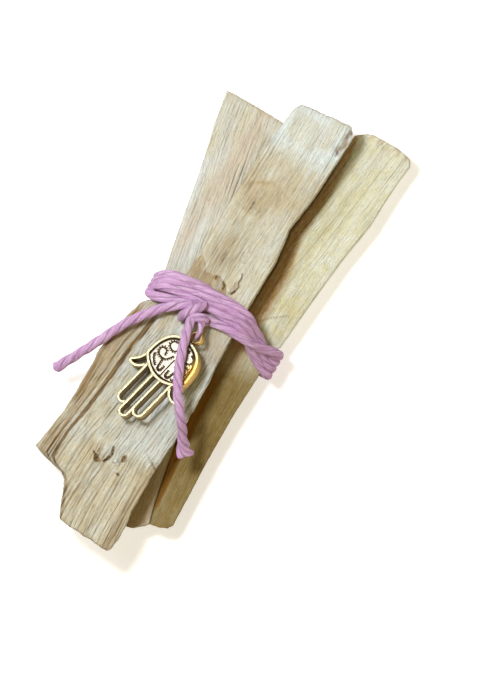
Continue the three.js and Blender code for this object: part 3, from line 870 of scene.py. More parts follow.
frontMarks = {
    # features placed one by one: bells (strength, place, reach) and lines (strength, width, points)
    # brown pits, and thin dark lines of painted shadow on the right of the raised lips
    "pitsAndShadows": (
        [(1, (-5.9, -38.0), (0.95, 0.7)), (1, (-0.7, -35.0), (0.6, 1.0)), (1, (-0.2, -38.7), (0.45, 0.35))],
        [(0.65, 0.3, [(-7.4, -36.8), (-6.4, -37.5)]), (1, 0.28, [(2.0, 9.0), (1.6, 8.2)]),
         (1, 0.27, [(-4.0, -33.9), (-3.45, -35.4), (-3.7, -36.6), (-4.4, -37.6)]),
         (1, 0.28, [(-1.1, 9.5), (-0.6, 9.0), (-0.5, 8.2)]), (1, 0.18, [(-3.3, 9.9), (-2.9, 9.4)])],
    ),
    "lips": (
        [(1, (-2.0, -36.3), (0.9, 0.5)), (1, (-6.4, -36.7), (1.0, 0.35)), (1, (-1.0, -38.2), (0.7, 0.5)),
         (1, (0.4, -38.4), (0.4, 0.6)), (1, (0.8, 8.6), (0.5, 0.6))],
        [(1, 0.3, [(-4.5, -34.0), (-4.1, -35.6), (-4.5, -36.8)]),
         (0.8, 0.24, [(-1.7, -36.9), (-0.6, -36.6)])],
    ),
    "crack": ([], [(1, 0.15, [(1.5, 13.3), (1.95, 12.2), (1.75, 11.3), (2.3, 10.3), (2.0, 9.0)])]),
    "faintCrack": ([], [(1, 0.16, [(2.9, -31.4), (3.9, -32.1), (5.0, -32.7), (6.4, -33.7)])]),
    "flakeEdge": ([], [(1, 0.13, [(-0.5, 17.5), (-0.6, 16.4), (-0.4, 15.3), (0.8, 15.5)])]),
    "arch": ([], [(1, 0.6, [(-7.6, 30.5), (-5.6, 32.3), (-2.5, 33.4), (1.0, 32.6), (4.0, 31.4)])]),
    "corner": ([], [(1, 0.6, [(7.2, 52.6), (6.7, 50.6), (7.0, 48.6), (6.3, 46.8)])]),
    "knotRing": ([(1, (-4.3, 27.7), (1.1, 1.3)), (-1, (-4.3, 27.7), (0.5, 0.6))], []),
    "knotPit": ([(1, (-4.1, 27.9), (0.3, 0.4)), (0.8, (-4.0, 26.8), (0.24, 0.35))], []),
    "arcs": ([], [
        (1, 0.5, [(-7.4, 29.0), (-6.8, 31.6), (-5.0, 33.0), (-2.5, 33.6)]),
        (1, 0.4, [(-5.6, 26.0), (-3.6, 25.6), (-2.8, 27.4), (-3.2, 29.6)]),
        (1, 0.4, [(-1.6, 33.4), (-0.2, 32.0), (0.4, 30.0)]),
    ]),
    "warmth": (
        [(0.5, (-7.4, -36.2), (2.0, 1.4)), (0.5, (4.6, -36.8), (0.7, 1.6)), (0.4, (-6.6, -47), (1.6, 6))],
        [(0.5, 1.4, rightStroke)],
    ),
    "paleness": (
        [(0.3, (3, 20), (3, 9)), (0.6, (3.2, 27.6), (2.0, 3.0)), (0.6, (-2.2, 35.8), (1.7, 1.6))], []),
    # stains, and in the first bell painted shade below the knot and the charm
    "stainsAndShade": (
        [(0.5, (4.8, -4.8), (3.0, 4.0)), (0.3, (-6.2, -37.4), (1.8, 1.4)), (0.25, (-5.2, 28.6), (2.6, 3.2))],
        [(0.22, 1.2, rightStroke)],
    ),
}
patchEdge = (
    (-8.8, -8.1, -7.2, -6.7, -6.2, -5.3, -4.4, -3.5, -2.7, -1.9, -1.0, -0.3, 0.4, 0.9),
    (11.4, 12.3, 12.0, 11.5, 10.2, 9.6, 10.1, 9.7, 10.3, 10.0, 9.4, 9.2, 8.4, 6.0),
)


def drawn(x, y, feature):
    # the sum of a feature's bells and lines
    bells, lines = feature
    total = sum(strength * spot(x, y, place, reach) for strength, place, reach in bells)
    return total + sum(strength * nearLine(x, y, points, width) for strength, width, points in lines)


def ledgeShare(x, y):
    # 0 at the left edge, 1 at the foot of the face
    foot = frontFoot(y) + 0.35 * wave(y / 4.0, 3, 15) + 0.14 * wave(y / 0.9, 3, 16)
    return (x - foot) / np.maximum(foot - frontLeft(y), 0.5) + 1


def frontFace(x, y):
    # level, lower along the ledge and towards the right edge, with a broad shallow wave
    shown = between(y, -46.5, -42.5, -5, 3)
    drop = np.interp(ledgeShare(x, y), ledge["share"], ledge["drop"]) * (0.15 + 0.85 * shown)
    return heights["upperFace"] - drop - 0.35 * ease(x, 4.6, 7) + 0.35 * wave(x / 6.0, y / 34.0, 21)


def frontUnder(y):
    # level all along
    return heights["upperUnder"] + 0 * y


def frontFlow(x, y):
    # u counts from the foot of the face, spread evenly to the right edge, and v runs along Y
    foot = flowFoot(y)
    u = np.where(x > foot, (x - foot) / (6.8 - foot) * 17.0, x - foot)
    return u + 0.25 * np.sin(y / 9) + 0.5 * wave(x / 7, y / 22, 23), y + 0 * x


def frontGrain(x, y, u, v, zone):
    # Lines along the grain, cut most on the ledge and at the lower end, least on the tan part near the top.
    # The pale middle is full of short hair cracks, the lower end of long straight ones.
    onLedge, lowEnd, greyPink = zone["ledge"], zone["lowEnd"], zone["greyPink"]
    cut = 0.24 + 0.3 * spot(x, y, (-4.2, 14), (4.5, 8)) + 0.35 * ease(-y, 0, 20)
    cut = cut + 0.5 * lowEnd + 0.3 * onLedge
    wavy = u + waves(u, v, [(0.22, 2.5, 9.0, 29), (0.1, 1.2, 3.0, 30)])
    rise = waves(u, v, [(0.26, 2.4, 46, 31), (0.16, 0.9, 20, 32), (0.11, 0.4, 9, 33), (0.08, 0.22, 3.2, 34)])
    long = grooves(wavy, v, 35, 0.85, 14, 0.1) * cut
    short = grooves(wavy, v, 37, 0.5, 7, 0.08) * np.minimum(cut + 0.15, 1)
    middle = np.maximum(between(-y, 2, 10, 34, 38) * (1 - onLedge), 0.8 * greyPink)
    hairs = grooves(u, v, 58, 0.6, 2.8, 0.095, 0.32) * middle
    straight = grooves(u, v, 57, 0.66, 20, 0.095, 0.24) * np.maximum(lowEnd, 0.5 * onLedge)
    return rise - 0.22 * long - 0.13 * short - 0.1 * hairs - 0.2 * straight, {
        "brown": 0.16 * onLedge * mottled(wavy / 0.9, v / 30, 45, 0.4, 0.7),
        "dark": 0.46 * long + 0.34 * short + 0.06 * middle + 0.5 * hairs + 0.5 * straight + 0.1 * greyPink,
    }


def frontRibs(x, y, u, v, zone):
    # rounded ribs on the ledge, and beside the left edge near the top, where the wood has split into slivers
    ribs = 0.5 - 0.5 * np.cos(2 * math.pi * (u / 0.95 + 0.5 * noise(u / 3, v / 20, 39)))
    slivers = fall(x - frontLeft(y), 1.2, 3.2) * between(y, 26, 33, 42, 47)
    onLedge = (0.35 + 0.4 * ease(-y, 27, 35)) * zone["ledge"] * mottled(u / 1.3, v / 30, 28, 0.2, 0.5)
    ribbed = ribs * np.maximum(onLedge, 0.7 * slivers)
    brown = 0.5 * ribbed * mottled(u / 2.2, v / 25, 38, 0.25, 0.6)
    return -0.3 * ribbed, {"brown": brown, "dark": 0.22 * ribbed}


def frontChips(x, y, u, v, zone):
    # an upper layer of the face stops short of the lower end in a line of chips, among brown pits and raised
    # lips, with painted shadow in thin dark lines on the right of the lips
    chipY = -36.2 + 1.2 * wave(x / 2.4, 0, 41) + 1.3 * wave(x / 0.8, 0, 42) + 0.12 * (x + 3)
    layer = between(y - chipY, -0.1, 0.1, 0.4, 5.0) * between(x, -7.9, -6.9, 0.2, 1.2)
    layer = layer * mottled(x / 1.3, 1, 43, 0.25, 0.45)
    pitsAndShadows, lips = (ease(drawn(x, y, frontMarks[name]), 0.3, 0.75) for name in ("pitsAndShadows", "lips"))
    return 0.3 * layer + 0.34 * lips - 0.5 * pitsAndShadows, {
        "pale": 0.5 * lips,
        "brown": 0.9 * pitsAndShadows,
        "dark": 0.6 * pitsAndShadows * mottled(x / 0.35, y / 0.35, 46, 0.3, 0.6),
    }


def frontPatch(x, y, u, v, zone):
    # a rough patch with ragged edges above the cord, and a flake with a straight dark left edge above that
    inside = np.interp(x, *patchEdge) + waves(x, y, [(0.5, 0.7, 2.2, 48), (0.5, 0.3, 0.8, 49)]) - y
    rough = ease(inside, -0.05, 0.2) * fall(x, 0.5, 1.0) * ease(y, 2, 4)
    rim = bell(inside - 0.05, 0.16) * mottled(x / 1.1, y / 1.3, 50, 0.25, 0.6) * fall(x, 0.3, 0.8)
    scales = mottled(x / 0.9 + 0.4 * y, y / 1.3, 27, 0.45, 0.6) * rough
    patchy = mottled(x / 1.1, y / 1.7, 44, 0.3, 0.7)
    splinter = spot(x, y, (1.25, 9.9), (0.5, 1.5)) * mottled(x / 0.3, y / 2.5, 18, 0.2, 0.6)
    flake = between(x, -0.5, -0.35, 0.8, 1.0) * between(y, 15.3, 15.45, 16.6, 17.6)
    flakeEdge = drawn(x, y, frontMarks["flakeEdge"])
    return 0.14 * scales - 0.2 * rough + 0.12 * flake - 0.12 * flakeEdge, {
        "warm": 0.3 * flake,
        "brown": 0.6 * splinter + 0.68 * rough * (0.5 + 0.5 * patchy) + 0.3 * rim,
        "dark": 0.25 * rim * patchy + 0.35 * flakeEdge,
    }


def frontFlaws(x, y, u, v, zone):
    # two cracks, the small knot with its arcs, a raised arch above it, and the torn upper right corner
    names = ("crack", "faintCrack", "arch", "corner", "knotRing", "knotPit", "arcs")
    crack, faint, arch, corner, ring, pit, arcs = (drawn(x, y, frontMarks[name]) for name in names)
    crack = crack + faint * (0.45 + 0.55 * mottled(x / 0.5, 4, 26, 0.2, 0.5))
    corner = corner * mottled(x / 0.45, y / 0.8, 14, 0.2, 0.5)
    arcs = arcs * mottled(x / 1.2, y / 1.6, 17, 0.2, 0.6)
    return 0.12 * arch - 0.3 * crack - 0.25 * pit - 0.7 * corner, {
        "warm": 0.4 * arch,
        "brown": 0.6 * ring + 0.8 * corner + 0.4 * arcs + 0.4 * np.minimum(crack, 1),
        "dark": 0.6 * crack + 0.7 * pit + 0.5 * corner * mottled(x / 0.4, y / 0.6, 47, 0.45, 0.7),
    }


def frontTone(x, y, u, v, zone):
    # broad patches: warm at both ends and on the ledge, pale in the middle and at the top
    warm = 0.7 * spot(x, y, (-1, 31), (8, 7)) * mottled(x / 4, y / 6, 40, 0.2, 0.5)
    warm = warm + 0.3 * zone["lowEnd"] + 0.25 * zone["ledge"] + 0.55 * zone["greyPink"]
    pale = 0.5 * between(-y, -1, 8, 31, 37) * ease(x, -8, -3)
    pale = pale + ease(y, 38, 44) * (0.5 + 0.45 * mottled(x / 3.5, y / 6, 16, 0.25, 0.6))
    return 0, {
        "warm": warm + 0.15 * between(y, 0, 6, 36, 44) + drawn(x, y, frontMarks["warmth"]),
        "pale": pale + drawn(x, y, frontMarks["paleness"]),
        # brown: stains, and painted shade below the knot and the charm
        "brown": drawn(x, y, frontMarks["stainsAndShade"]),
    }


def frontLedge(x, y, u, v, zone):
    # the ledge's darker brown outer edge, pale ribs and dark seams along it, and painted shade in brown in
    # the groove at the foot of the face
    share = zone["share"]
    edge = bell(x - frontLeft(y) - 0.65, 0.5) * between(-y, 2, 7, 27, 31)
    edge = edge * (0.7 + 0.4 * mottled(y / 3.5, 5, 24, 0.3, 0.6))
    here = ease(-y, 4, 12) * fall(share, 1.0, 1.04)
    upper = here * fall(-y, 27, 35)
    seams = bell(share - 0.3, 0.04) + bell(share - 0.6, 0.05)
    seams = seams * here * mottled(u / 0.7, y / 7, 19, 0.2, 0.5)
    ribs = (0.7 * bell(share - 0.16, 0.1) + 0.8 * bell(share - 0.74, 0.07)) * here
    # painted shade: brown in the groove at the foot of the face, with a dark line along it
    foot = bell(share - 0.92, 0.085) * ease(-y, 2, 8)
    footShadeLine = bell(share - 0.97, 0.045) * ease(-y, 2, 8) * mottled(y / 4, 2, 26, 0.1, 0.4)
    brown = edge + 0.75 * seams * (1 - 0.4 * upper) + 0.3 * bell(share - 0.45, 0.12) * here
    return 0, {
        "warm": 0.35 * upper,
        "pale": ribs * mottled(u / 0.8, y / 12, 20, 0.2, 0.6) * (1 - 0.6 * upper),
        "brown": brown + 0.95 * foot + 0.08 * zone["ledge"] * ease(-y, 16, 26),
        "dark": 0.22 * edge + 0.7 * footShadeLine + 0.5 * seams * (1 - 0.6 * upper),
    }


def frontRelief(x, y, u, v):
    # the sum of the parts above, and where on the stick their zones lie
    share = ledgeShare(x, y)
    zone = {
        "share": share,
        "ledge": fall(share, 0.9, 1.02) * fall(y, -2, 4),
        "lowEnd": ease(-y, 33, 38),
        "greyPink": spot(x, y, (-4.2, 15.5), (3.6, 6.0)),
    }
    parts = (frontGrain, frontRibs, frontChips, frontPatch, frontFlaws, frontTone, frontLedge)
    return summed([part(x, y, u, v, zone) for part in parts], 0.92)


frontStick = {
    "counts": (164, 14, 20),    # points across the face, down a wall and across the underside
    "corner": 0.35,
    "rows": rowsOf(-53.9, 52.7, 0.34, [(-46.0, -41.8, 0.16), (-39.0, -33.4, 0.14), (5.0, 15.0, 0.16)]),
    "left": wavering(frontLeft, 0.3, 7.0, 11), "right": wavering(frontRight, 0.3, 7.0, 13),
    "face": frontFace, "under": frontUnder, "wall": roughWall(51, 1.0, 1.0),
    "flow": frontFlow, "grainDepth": 14.0, "relief": frontRelief,
    # an end's outline: a broken line of (x, shift along Y) and waves (height, length, row, seed)
    "upperEnd": {"line": ((-30, -3.3), (30, 3.3)), "waves": ((0.35, 1.1, 0, 53), (0.25, 0.35, 0, 54))},
    "lowerEnd": {"line": ((-30, 1.8), (30, -1.8)), "waves": ((0.4, 1.3, 1, 55), (0.3, 0.4, 1, 56))},
    "look": frontLook, "endBrown": 0.9,
}

# The left stick

leftLook = {
    "pale": (207, 208, 190), "cream": (206, 202, 179), "tan": (206, 194, 170), "pink": (204, 186, 174),
    "white": (214, 220, 216), "blush": (208, 199, 168), "streakColour": (198, 187, 162),
    "lineColour": (166, 151, 124), "brown": (164, 134, 84), "dark": (94, 74, 50),
    "even": 0.75, "mottle": 0.45, "flake": 0.2, "rim": 0.1, "blotch": 0.45, "streak": 0.14, "line": 0.24,
    "hair": 0.26, "fleck": 0.24, "short": 1.2, "bump": 0.8,
}
# y, left edge, right edge
leftOuter, leftInner = columnsOf([
    (-47.2, -4.4, 8.3), (-46.0, -4.5, 10.2), (-44.9, -4.6, 11.0), (-40.8, -5.2, 9.8), (-27.0, -7.6, 7.1),
    (-16.0, -9.8, 5.3), (-0.6, -12.7, 2.1), (4.6, -12.85, 1.1), (5.5, -13.75, 1.0), (11.4, -15.0, 0.1),
    (27.9, -18.0, -2.7), (38.9, -20.5, -4.6), (46.8, -21.75, -5.9),
])


def leftMeeting(y):
    # the right edge, a little further out where it meets the right stick
    return leftInner(y) + 0.2 * ease(-y, 6, 14)


def leftFace(x, y):
    # level, and lower towards both ends
    return heights["lowerFace"] - 1.1 * ease(y, 14, 46) - 0.5 * ease(-y, 30, 46) + 0 * x


def leftRelief(x, y, u, v):
    # grain lines, deep splits beside the front stick, a pink band down the middle, brown at the lower end,
    # less of it near the right edge as a painted highlight
    long = 0.6 * grooves(u, v, 76, 1.1, 12, 0.1)
    short = grooves(u, v, 70, 0.6, 6, 0.08)
    splits = bell(x - np.interp(y, (27, 33, 40), (-9.4, -10.0, -10.4)), 1.9) * between(y, 23, 30, 41, 45)
    splitLines = grooves(u, v, 77, 0.8, 9, 0.12, 0.26) * splits
    rise = waves(u, v, [(0.3, 2.8, 60, 73), (0.18, 1.0, 26, 74), (0.1, 0.4, 12, 75)])
    pinkBand = bell(x + 12.6 - 0.05 * (y - 30) + 0.8 * wave(y / 7, 1, 72), 1.7) * ease(y, 4, 16)
    pale = ease(leftOuter(y) + 5.6 - x, -1.6, 1.2) * ease(y, 4, 14) * mottled(x / 3, y / 9, 69, 0.2, 0.6)
    marks = {
        "warm": 0.7 * pinkBand + 0.35 * splits + 0.2 * ease(-y, 10, 30),
        "pale": pale * (0.75 - 0.5 * ease(y, 30, 40)),
        # less brown within a millimetre of the right edge: a painted highlight
        "brown": 0.85 * ease(-y, 14, 34) * (1 - 0.4 * ease(x - leftInner(y), -1.3, -0.3)) + 0.4 * splitLines,
        "dark": 0.34 * long + 0.26 * short + 0.45 * splitLines,
    }
    return summed([(rise - 0.16 * long - 0.1 * short - 0.42 * splitLines, marks)], 0.9)


leftStick = {
    "counts": (140, 14, 20),
    "corner": 0.35,
    "rows": rowsOf(-47.2, 46.8, 0.4),
    "left": wavering(leftOuter, 0.22, 7, 79), "right": wavering(leftMeeting, 0.1, 4, 80),
    "face": leftFace, "under": archUnder, "wall": calmed(roughWall(81), 1),
    "flow": swaying(leftOuter, leftInner, (0.2, 11), (0.5, 25), 71), "grainDepth": 7.0, "relief": leftRelief,
    "upperEnd": {"line": ((-30, 0), (30, 0)), "waves": ((0.2, 1.2, 0, 83), (0.12, 0.35, 0, 84))},
    "lowerEnd": {"line": ((-30, -0.75), (6, -0.75), (30, 5.25)), "waves": ((0.3, 1.2, 0, 85),)},
    "look": leftLook, "endBrown": 0.8,
}

# The right stick

# brown and dark paint the shadow beside the front stick as well as cracks, chips and ends; tan and pink paint
# the shade of the lower half
rightLook = {
    "pale": (221, 224, 202), "cream": (214, 211, 172), "tan": (126, 104, 52), "pink": (118, 92, 40),
    "white": (228, 232, 219), "blush": (222, 214, 158), "streakColour": (200, 192, 146),
    "lineColour": (158, 146, 102), "brown": (150, 98, 8), "dark": (84, 64, 24),
    "even": 0.93, "mottle": 0.6, "flake": 0.04, "rim": 0.0, "blotch": 0.6, "streak": 0.12, "line": 0.22,
    "hair": 0.18, "fleck": 0.36, "short": 2.3, "bump": 0.6,
}
# y, left edge, right edge
rightInner, rightOuter = columnsOf([
    (-44.9, 11.35, 15.1), (-43.5, 11.0, 15.9), (-40.8, 10.15, 15.8), (-27.0, 7.45, 15.5), (-16.0, 5.7, 15.4),
    (-5.4, 4.3, 15.9), (2.3, 3.4, 15.95), (3.2, 3.3, 17.0), (6.4, 2.9, 17.3), (12.5, 3.4, 17.8),
    (26.8, 4.7, 19.1), (36.7, 5.6, 20.6), (48.8, 7.3, 21.4), (52.2, 7.9, 21.75), (53.2, 9.2, 21.3),
])


def rightFace(x, y):
    # crowned across, and lower towards the upper end
    left, right = rightInner(y), rightOuter(y)
    crown = 0.5 * ((2 * x - left - right) / (right - left)) ** 2
    return heights["lowerFace"] - 0.9 * ease(y, 16, 52) - crown


def rightRelief(x, y, u, v):
    # Grain lines, stronger at the upper right edge, and one slanting crack. It has painted shadow in orange
    # brown where the front stick keeps the light off, darkest in a painted shadow band at the lower end, with
    # painted shade along the front stick's edge, and its lower half is warmer and darker as painted shade.
    edgeSplits = fall(rightOuter(y) - x, 1.0, 3.4) * ease(y, 36, 46)
    long = grooves(u, v, 96, 1.2, 14, 0.11) * (0.35 + 0.4 * ease(y, 10, 30) + 0.6 * edgeSplits)
    short = grooves(u, v, 90, 0.55, 5, 0.08)
    crack = nearLine(x, y, [(9.8, 6.0), (11.9, 8.2), (15.0, 10.4)], 0.16)
    rise = waves(u, v, [(0.26, 3.4, 60, 93), (0.12, 1.1, 24, 94), (0.08, 0.4, 9, 95)])
    beside = x - frontRight(y)
    width = np.interp(y, (0, 12, 45, 52), (5.4, 5.2, 2.6, 1.8)) + 0.5 * wave(y / 6, 3, 92)
    # painted shadow in orange brown beside the front stick, where it keeps the light off the face
    stainAndShadow = 0.86 * fall(beside / width, 0.6, 1.0) * ease(y, -8, 0)
    # painted shadow: a dark orange brown band at the lower end, where the front stick keeps the light off
    fromBand = x - np.interp(y, (-42, -40.3, -36.5, -32.4, -29.3, -14), (10.3, 10.4, 10.3, 9.9, 9.6, 8.6))
    band = fall(fromBand, 0.2, 0.7) * between(-y, 4, 14, 40.5, 43)
    # painted shade: dark in the gap along the front stick's edge
    under = fall(beside, 0.3, 1.0) * between(y, 4, 12, 42, 50)
    chips = mottled(x / 0.7, y / 0.7, 97, 0.5, 0.65) * ease(y, 51.2, 52.6)
    # painted shade: the lower half warmer and darker, below the cord
    warm = 0.98 * ease(-y, -2, 10) * (1 - 0.14 * ease(-y, 22, 42))
    dark = 0.36 * long + 0.28 * short + 0.2 * crack + 0.8 * under
    marks = {
        "warm": warm + 0.12 * mottled(u / 2.5, v / 50, 98, 0.5, 0.8),
        "pale": 0.3 * ease(y, 6, 30),
        "brown": stainAndShadow + band + 0.35 * crack + 0.4 * chips,
        "dark": dark + 0.4 * band * ease(fromBand, -1.6, -0.2),
    }
    return summed([(rise - 0.16 * long - 0.09 * short - 0.12 * crack, marks)], 0.9)


rightStick = {
    "counts": (130, 14, 20),
    "corner": 0.45,
    "rows": rowsOf(-44.9, 53.2, 0.42),
    "left": wavering(rightInner, 0.1, 5, 99), "right": wavering(rightOuter, 0.22, 9, 100),
    "face": rightFace, "under": archUnder, "wall": calmed(roughWall(101, 0.8), -1),
    "flow": swaying(rightInner, rightOuter, (0.25, 13), (0.4, 30), 91), "grainDepth": 7.0,
    "relief": rightRelief,
    "upperEnd": {
        "line": ((9.2, 0.2), (10, 0.7), (12, 1.1), (14, 1.3), (17.5, 1.0), (20.7, 0.7), (21.4, 0.2)),
        "waves": ((0.3, 1.9, 0, 104), (0.22, 0.7, 0, 103)),
    },
    "lowerEnd": {"line": ((-30, -11.592), (30, 5.208)), "waves": ((0.25, 0.9, 0, 105),)},
    "look": rightLook, "endBrown": 0.3,
}

splitStick("left_split", "left_stick", leftStick)
splitStick("right_split", "right_stick", rightStick)
splitStick("front_split", "front_stick", frontStick)
print("wood")

# The charm

charm = {
    "place": (-0.49, -5.82, 22.85),
    "turn": -14.4,
    "tilt": -18.0,
    "half": 1.55,           # half its thickness
    "bar": 0.66,            # width of the rim and of the bars
    "corner": 0.11,         # rounding of their edges
    "bright": shade(158, 154, 126),
    "plate": shade(156, 151, 138),
    "warm": shade(222, 176, 82),
    "dark": shade(46, 30, 8),
}


def toRow(points):
    # charm coordinates to the row frame: a tilt about Y, then a turn about Z, then its place
    turn, tilt = math.radians(charm["turn"]), math.radians(charm["tilt"])
    ry = np.array([[math.cos(tilt), 0, math.sin(tilt)], [0, 1, 0], [-math.sin(tilt), 0, math.cos(tilt)]])
    rz = np.array([[math.cos(turn), -math.sin(turn), 0], [math.sin(turn), math.cos(turn), 0], [0, 0, 1]])
    return points @ (rz @ ry).T + np.array(charm["place"])


def goldMaterial(name, crown, look):
    # Worn pale gilding on the crowns, which goes over to warm gold by one value kept on the mesh and to the
    # dark of old patina by another, each broken up a little by a cloud.
    bench = Bench(name)
    low, warm = bench.value("low"), bench.value("warm")
    where = bench.place("spotOn", (1.0, 1.0, 1.0))
    wear = bench.cloud(where, scale=2.2, detail=4.0, rough=0.6).rise(0.35, 0.7)
    grain = bench.cloud(where, scale=9.0, detail=2.0).rise(0.3, 0.7)
    ground = bench.mix((warm + wear * 0.12).least(1.0), crown, look["warm"])
    ground = bench.mix(low, ground, look["dark"])
    bench.shader.inputs["Metallic"].default_value = 1.0
    return bench.finish(ground, 0.34 + low * 0.25 + wear * 0.1, grain, 0.3, 0.00006)


rimGold = goldMaterial("rimGold", charm["bright"], charm)
plateGold = goldMaterial("plateGold", charm["plate"], charm)


def goldValues(points, low, walls):
    # every wall is warmer than the crowns, and the right side of the palm is warmer and less dark as a
    # painted reflection of the warm wood beside it
    # painted reflection: the right side of the palm warmer and less dark
    right = 0.75 * ease(points[:, 0], 2.6, 4.6) * ease(points[:, 1], -9.8, -8.4)
    return {"low": low * (1 - 0.7 * right), "warm": np.clip(np.maximum(walls, right), 0, 1), "spotOn": points}


def bars(routes, top, width):
    # each bar is a rounded upright rectangle carried along a flat route in the charm's plane
    parts = [[], [], [], []]
    offset = 0
    corner = charm["corner"]
    for route, lift in routes:
        line, run = smoothRoute([(x, y, 0.0) for x, y in route], 0.14)
        along = directions(line)
        side = np.stack([along[:, 1], -along[:, 0], 0 * along[:, 0]], axis=1)
        half = width / 2
        high, low = top + lift, -charm["half"] - 0.2 * lift
        bend = np.linspace(0, math.pi / 2, 5)
        quarter = np.stack([np.sin(bend), np.cos(bend)], axis=1) * corner
        profile = []
        for signX, signZ in ((1, 1), (1, -1), (-1, -1), (-1, 1)):
            part = quarter if signX * signZ > 0 else quarter[::-1]
            middle = np.array([signX * (half - corner), (high if signZ > 0 else low) - signZ * corner])
            profile.append(middle + part * np.array([signX, signZ]))
        profile = np.concatenate(profile)
        points = line[:, None, :] + side[:, None, :] * profile[None, :, :1]
        points = points + np.array([0, 0, 1.0]) * profile[None, :, 1:]
        squares, fans = ringFaces(len(run), len(profile))
        whole = np.concatenate([points.reshape(-1, 3), points[[0, -1]].mean(axis=1)])
        squares, fans = facingOut(whole, squares, fans)
        for part, piece in zip(parts, (whole, squares + offset, fans + offset, high - whole[:, 2])):
            part.append(piece)
        offset += len(whole)
    return [np.concatenate(part) for part in parts]


def arcPoints(cx, cy, radius, start, end, count=9):
    # points on an arc, its angles in degrees
    angles = np.radians(np.linspace(start, end, count))
    return [(cx + radius * math.cos(a), cy + radius * math.sin(a)) for a in angles]


def mirrored(route):
    return [(-x, y) for x, y in route]


def palmField(inset, count=90):
    # Inner edge of the palm's rim, drawn in by the inset: a dome over a shallow bow, four quadratic arcs that
    # meet in a corner on each side.
    half = 5.2 - inset
    foot, crown, bow = -7.8, -0.35 - inset, -10.1 + inset
    corners = [
        ((half, foot), (half + 0.4, crown - 0.15), (0, crown)),
        ((0, crown), (-half - 0.4, crown - 0.15), (-half, foot)),
        ((-half, foot), (-3.0, bow + 0.1), (0, bow)),
        ((0, bow), (3.0, bow + 0.1), (half, foot)),
    ]
    t = np.linspace(0, 1, count, endpoint=False)[:, None]
    arcs = []
    for a, b, c in np.array(corners):
        arcs.append((1 - t) ** 2 * a + 2 * t * (1 - t) * b + t ** 2 * c)
    return np.concatenate(arcs)


scrolls = {
    # curls of one half of the palm, each with small teeth along one side, and which side that is
    "curl": ([
        (2.55, -5.55), (2.75, -4.75), (3.4, -4.5), (4.05, -4.7), (4.25, -5.45), (3.75, -6.3), (2.65, -6.5),
        (1.5, -6.0), (0.85, -4.6)], -1),
    "stem": ([(2.3, -6.6), (2.0, -7.8), (1.85, -8.8), (1.1, -9.2), (0.65, -8.7), (0.6, -7.6)], 1),
    "leaf": ([(4.55, -6.9), (4.1, -7.7), (3.3, -8.35), (2.6, -8.8)], 1),
    "dot": ([(0.6, -1.3), (1.05, -1.2), (1.3, -1.6)], 1),
    "crest": ([
        (2.2, -1.8), (3.0, -2.0), (3.35, -2.7), (3.0, -3.45), (2.2, -3.75), (1.35, -3.6), (0.9, -2.7)], -1),
    "pitch": 0.46,          # from tooth to tooth
    "tooth": 0.34,
    "width": 0.135,
}


def filigree(x, y):
    # dark serrated curls cut into the plate, the same on both sides of its centre line
    x = np.abs(x - 0.3)
    cut = np.zeros(np.shape(x))
    for name in ("curl", "stem", "leaf", "dot", "crest"):
        points, side = scrolls[name]
        line, _ = smoothRoute([(px, py, 0.0) for px, py in points], scrolls["pitch"])
        along = directions(line)
        tips = line[:, :2] + side * scrolls["tooth"] * np.stack([along[:, 1], -along[:, 0]], axis=1)
        cut = np.maximum(cut, 0.8 * nearLine(x, y, line[:, :2], scrolls["width"]))
        for root, tip in zip(line[:, :2], tips):
            cut = np.maximum(cut, nearLine(x, y, [root, tip], scrolls["width"] * 0.9))
    return cut


def addBars():
    # the rim, the three fingers and the two thumbs
    sideX, sideR, sideEnd, middleR, middleEnd = 2.4, 1.6, 20.0, 1.4, 22.05
    inset = charm["bar"] / 2
    out, mid = sideX + sideR - inset, middleR - inset
    rimField = palmField(-inset, 24)
    rim = [tuple(p) for p in np.concatenate([rimField, rimField[:2]])]
    sideFinger = [(out, -9.3), (out, -13.0), (out, -16.0)]
    sideFinger += arcPoints(sideX, sideR - sideEnd, sideR - inset, 0, -165)
    middleFinger = [(mid, -10.4), (mid, -14.0), (mid, -17.5)]
    middleFinger += arcPoints(0, middleR - middleEnd, mid, 0, -180)
    middleFinger += [(-mid, -17.5), (-mid, -14.0), (-mid, -10.4)]
    thumb = [
        (5.4, -7.9), (5.75, -9.1), (6.3, -10.2), (7.0, -11.0), (7.35, -11.45), (7.15, -11.8), (6.35, -11.9),
        (5.4, -11.65), (4.55, -11.0), (4.0, -10.1),
    ]
    routes = [(rim, 0.03), (middleFinger, 0.0), (sideFinger, -0.03), (mirrored(sideFinger), -0.03)]
    routes += [(thumb, -0.02), (mirrored(thumb), -0.02)]
    points, squares, fans, depth = bars(routes, charm["half"], charm["bar"])
    low = np.clip((depth - 0.08) / 0.55, 0, 1) * 0.92
    values = goldValues(points, low, np.clip((depth - 0.05) / 0.3, 0, 1))
    piece = makePiece("charm_bars", toRow(points), squares, fans, rimGold, values)
    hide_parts("hand_charm")


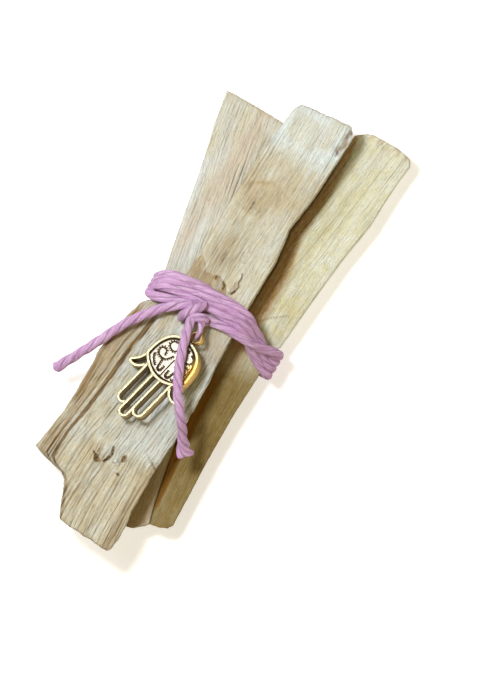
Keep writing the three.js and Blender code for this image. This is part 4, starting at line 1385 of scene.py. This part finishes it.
def addPlate():
    # the palm's plate: rings from its middle out to the moat, over its wall and moat, down and back below
    top = charm["half"]
    edge = palmField(0.34)
    centre = np.array([0.0, -5.4])
    shares = np.linspace(0, 1, 80)[1:, None]
    plate = centre + (edge - centre)[None] * shares[..., None]
    cut = filigree(plate[..., 0], plate[..., 1])
    centreLine = bell(plate[..., 0] - 0.3, 0.12) * fall(plate[..., 1], -5.2, -4.8)
    carve = np.clip(ease(cut, 0.25, 0.7) + ease(centreLine, 0.3, 0.8), 0, 1)
    height = top - 0.06 + 0.1 * (1 - shares ** 2) - 0.3 * carve - 0.1 * ease(shares, 0.97, 1.0)
    rings = [np.concatenate([plate, height[..., None]], axis=-1)]
    lowParts = [0.9 * carve]
    # wall and moat: how far each ring is drawn in, its height and its darkness
    walls = [
        (0.33, top - 0.5, 0.9), (0.3, top - 0.55, 0.95), (0.05, top - 0.55, 0.95), (-0.15, top - 0.5, 0.8),
        (-0.15, 0.05 - top, 0.4),
    ]
    for grow, z, dark in walls:
        flat = palmField(grow)
        rings.append(np.concatenate([flat, np.full((len(flat), 1), z)], axis=1)[None])
        lowParts.append(np.full((1, len(flat)), dark))
    for s in (0.6, 0.2):
        flat = centre + (palmField(-0.15) - centre) * s
        rings.append(np.concatenate([flat, np.full((len(flat), 1), 0.05 - top)], axis=1)[None])
        lowParts.append(np.full((1, len(flat)), 0.3))
    rings = np.concatenate(rings)
    low = np.concatenate(lowParts)
    squares, fans = ringFaces(rings.shape[0], rings.shape[1])
    tips = np.array([[centre[0], centre[1], top + 0.04], [centre[0], centre[1], 0.05 - top]])
    whole = np.concatenate([rings.reshape(-1, 3), tips])
    low = np.concatenate([low.ravel(), [0, 0.3]])
    values = goldValues(whole, low, 0.3 * low)
    makePiece("charm_palm", toRow(whole), squares, fans, plateGold, values)


def addEye(middle=(0, 1.85, 0), radius=1.23, wire=0.38, deep=1.1, around=28, along=96):
    # a torus round Z, its wire's section drawn out along Z into an oval
    a = np.linspace(0, 2 * math.pi, along, endpoint=False)[:, None]
    b = np.linspace(0, 2 * math.pi, around, endpoint=False)[None, :]
    out = radius + wire * np.cos(b)
    points = np.stack([out * np.cos(a), out * np.sin(a), deep * np.sin(b) + 0 * a], axis=-1)
    points = (points + np.array(middle)).reshape(-1, 3)
    i, j = np.meshgrid(np.arange(along), np.arange(around), indexing="ij")
    here, there, n = i * around, (i + 1) % along * around, (j + 1) % around
    squares = np.stack([here + j, here + n, there + n, there + j], axis=-1).reshape(-1, 4)
    depth = np.clip((deep - points[:, 2]) / deep, 0, 2)
    values = goldValues(points, np.clip(depth - 0.3, 0, 1) * 0.5, np.clip(0.4 + depth, 0, 1))
    noFans = np.zeros((0, 3), int)
    makePiece("charm_eye", toRow(points), squares, noFans, rimGold, values)


addBars()
addPlate()
addEye()
print("charm")

bpy.context.view_layer.update()
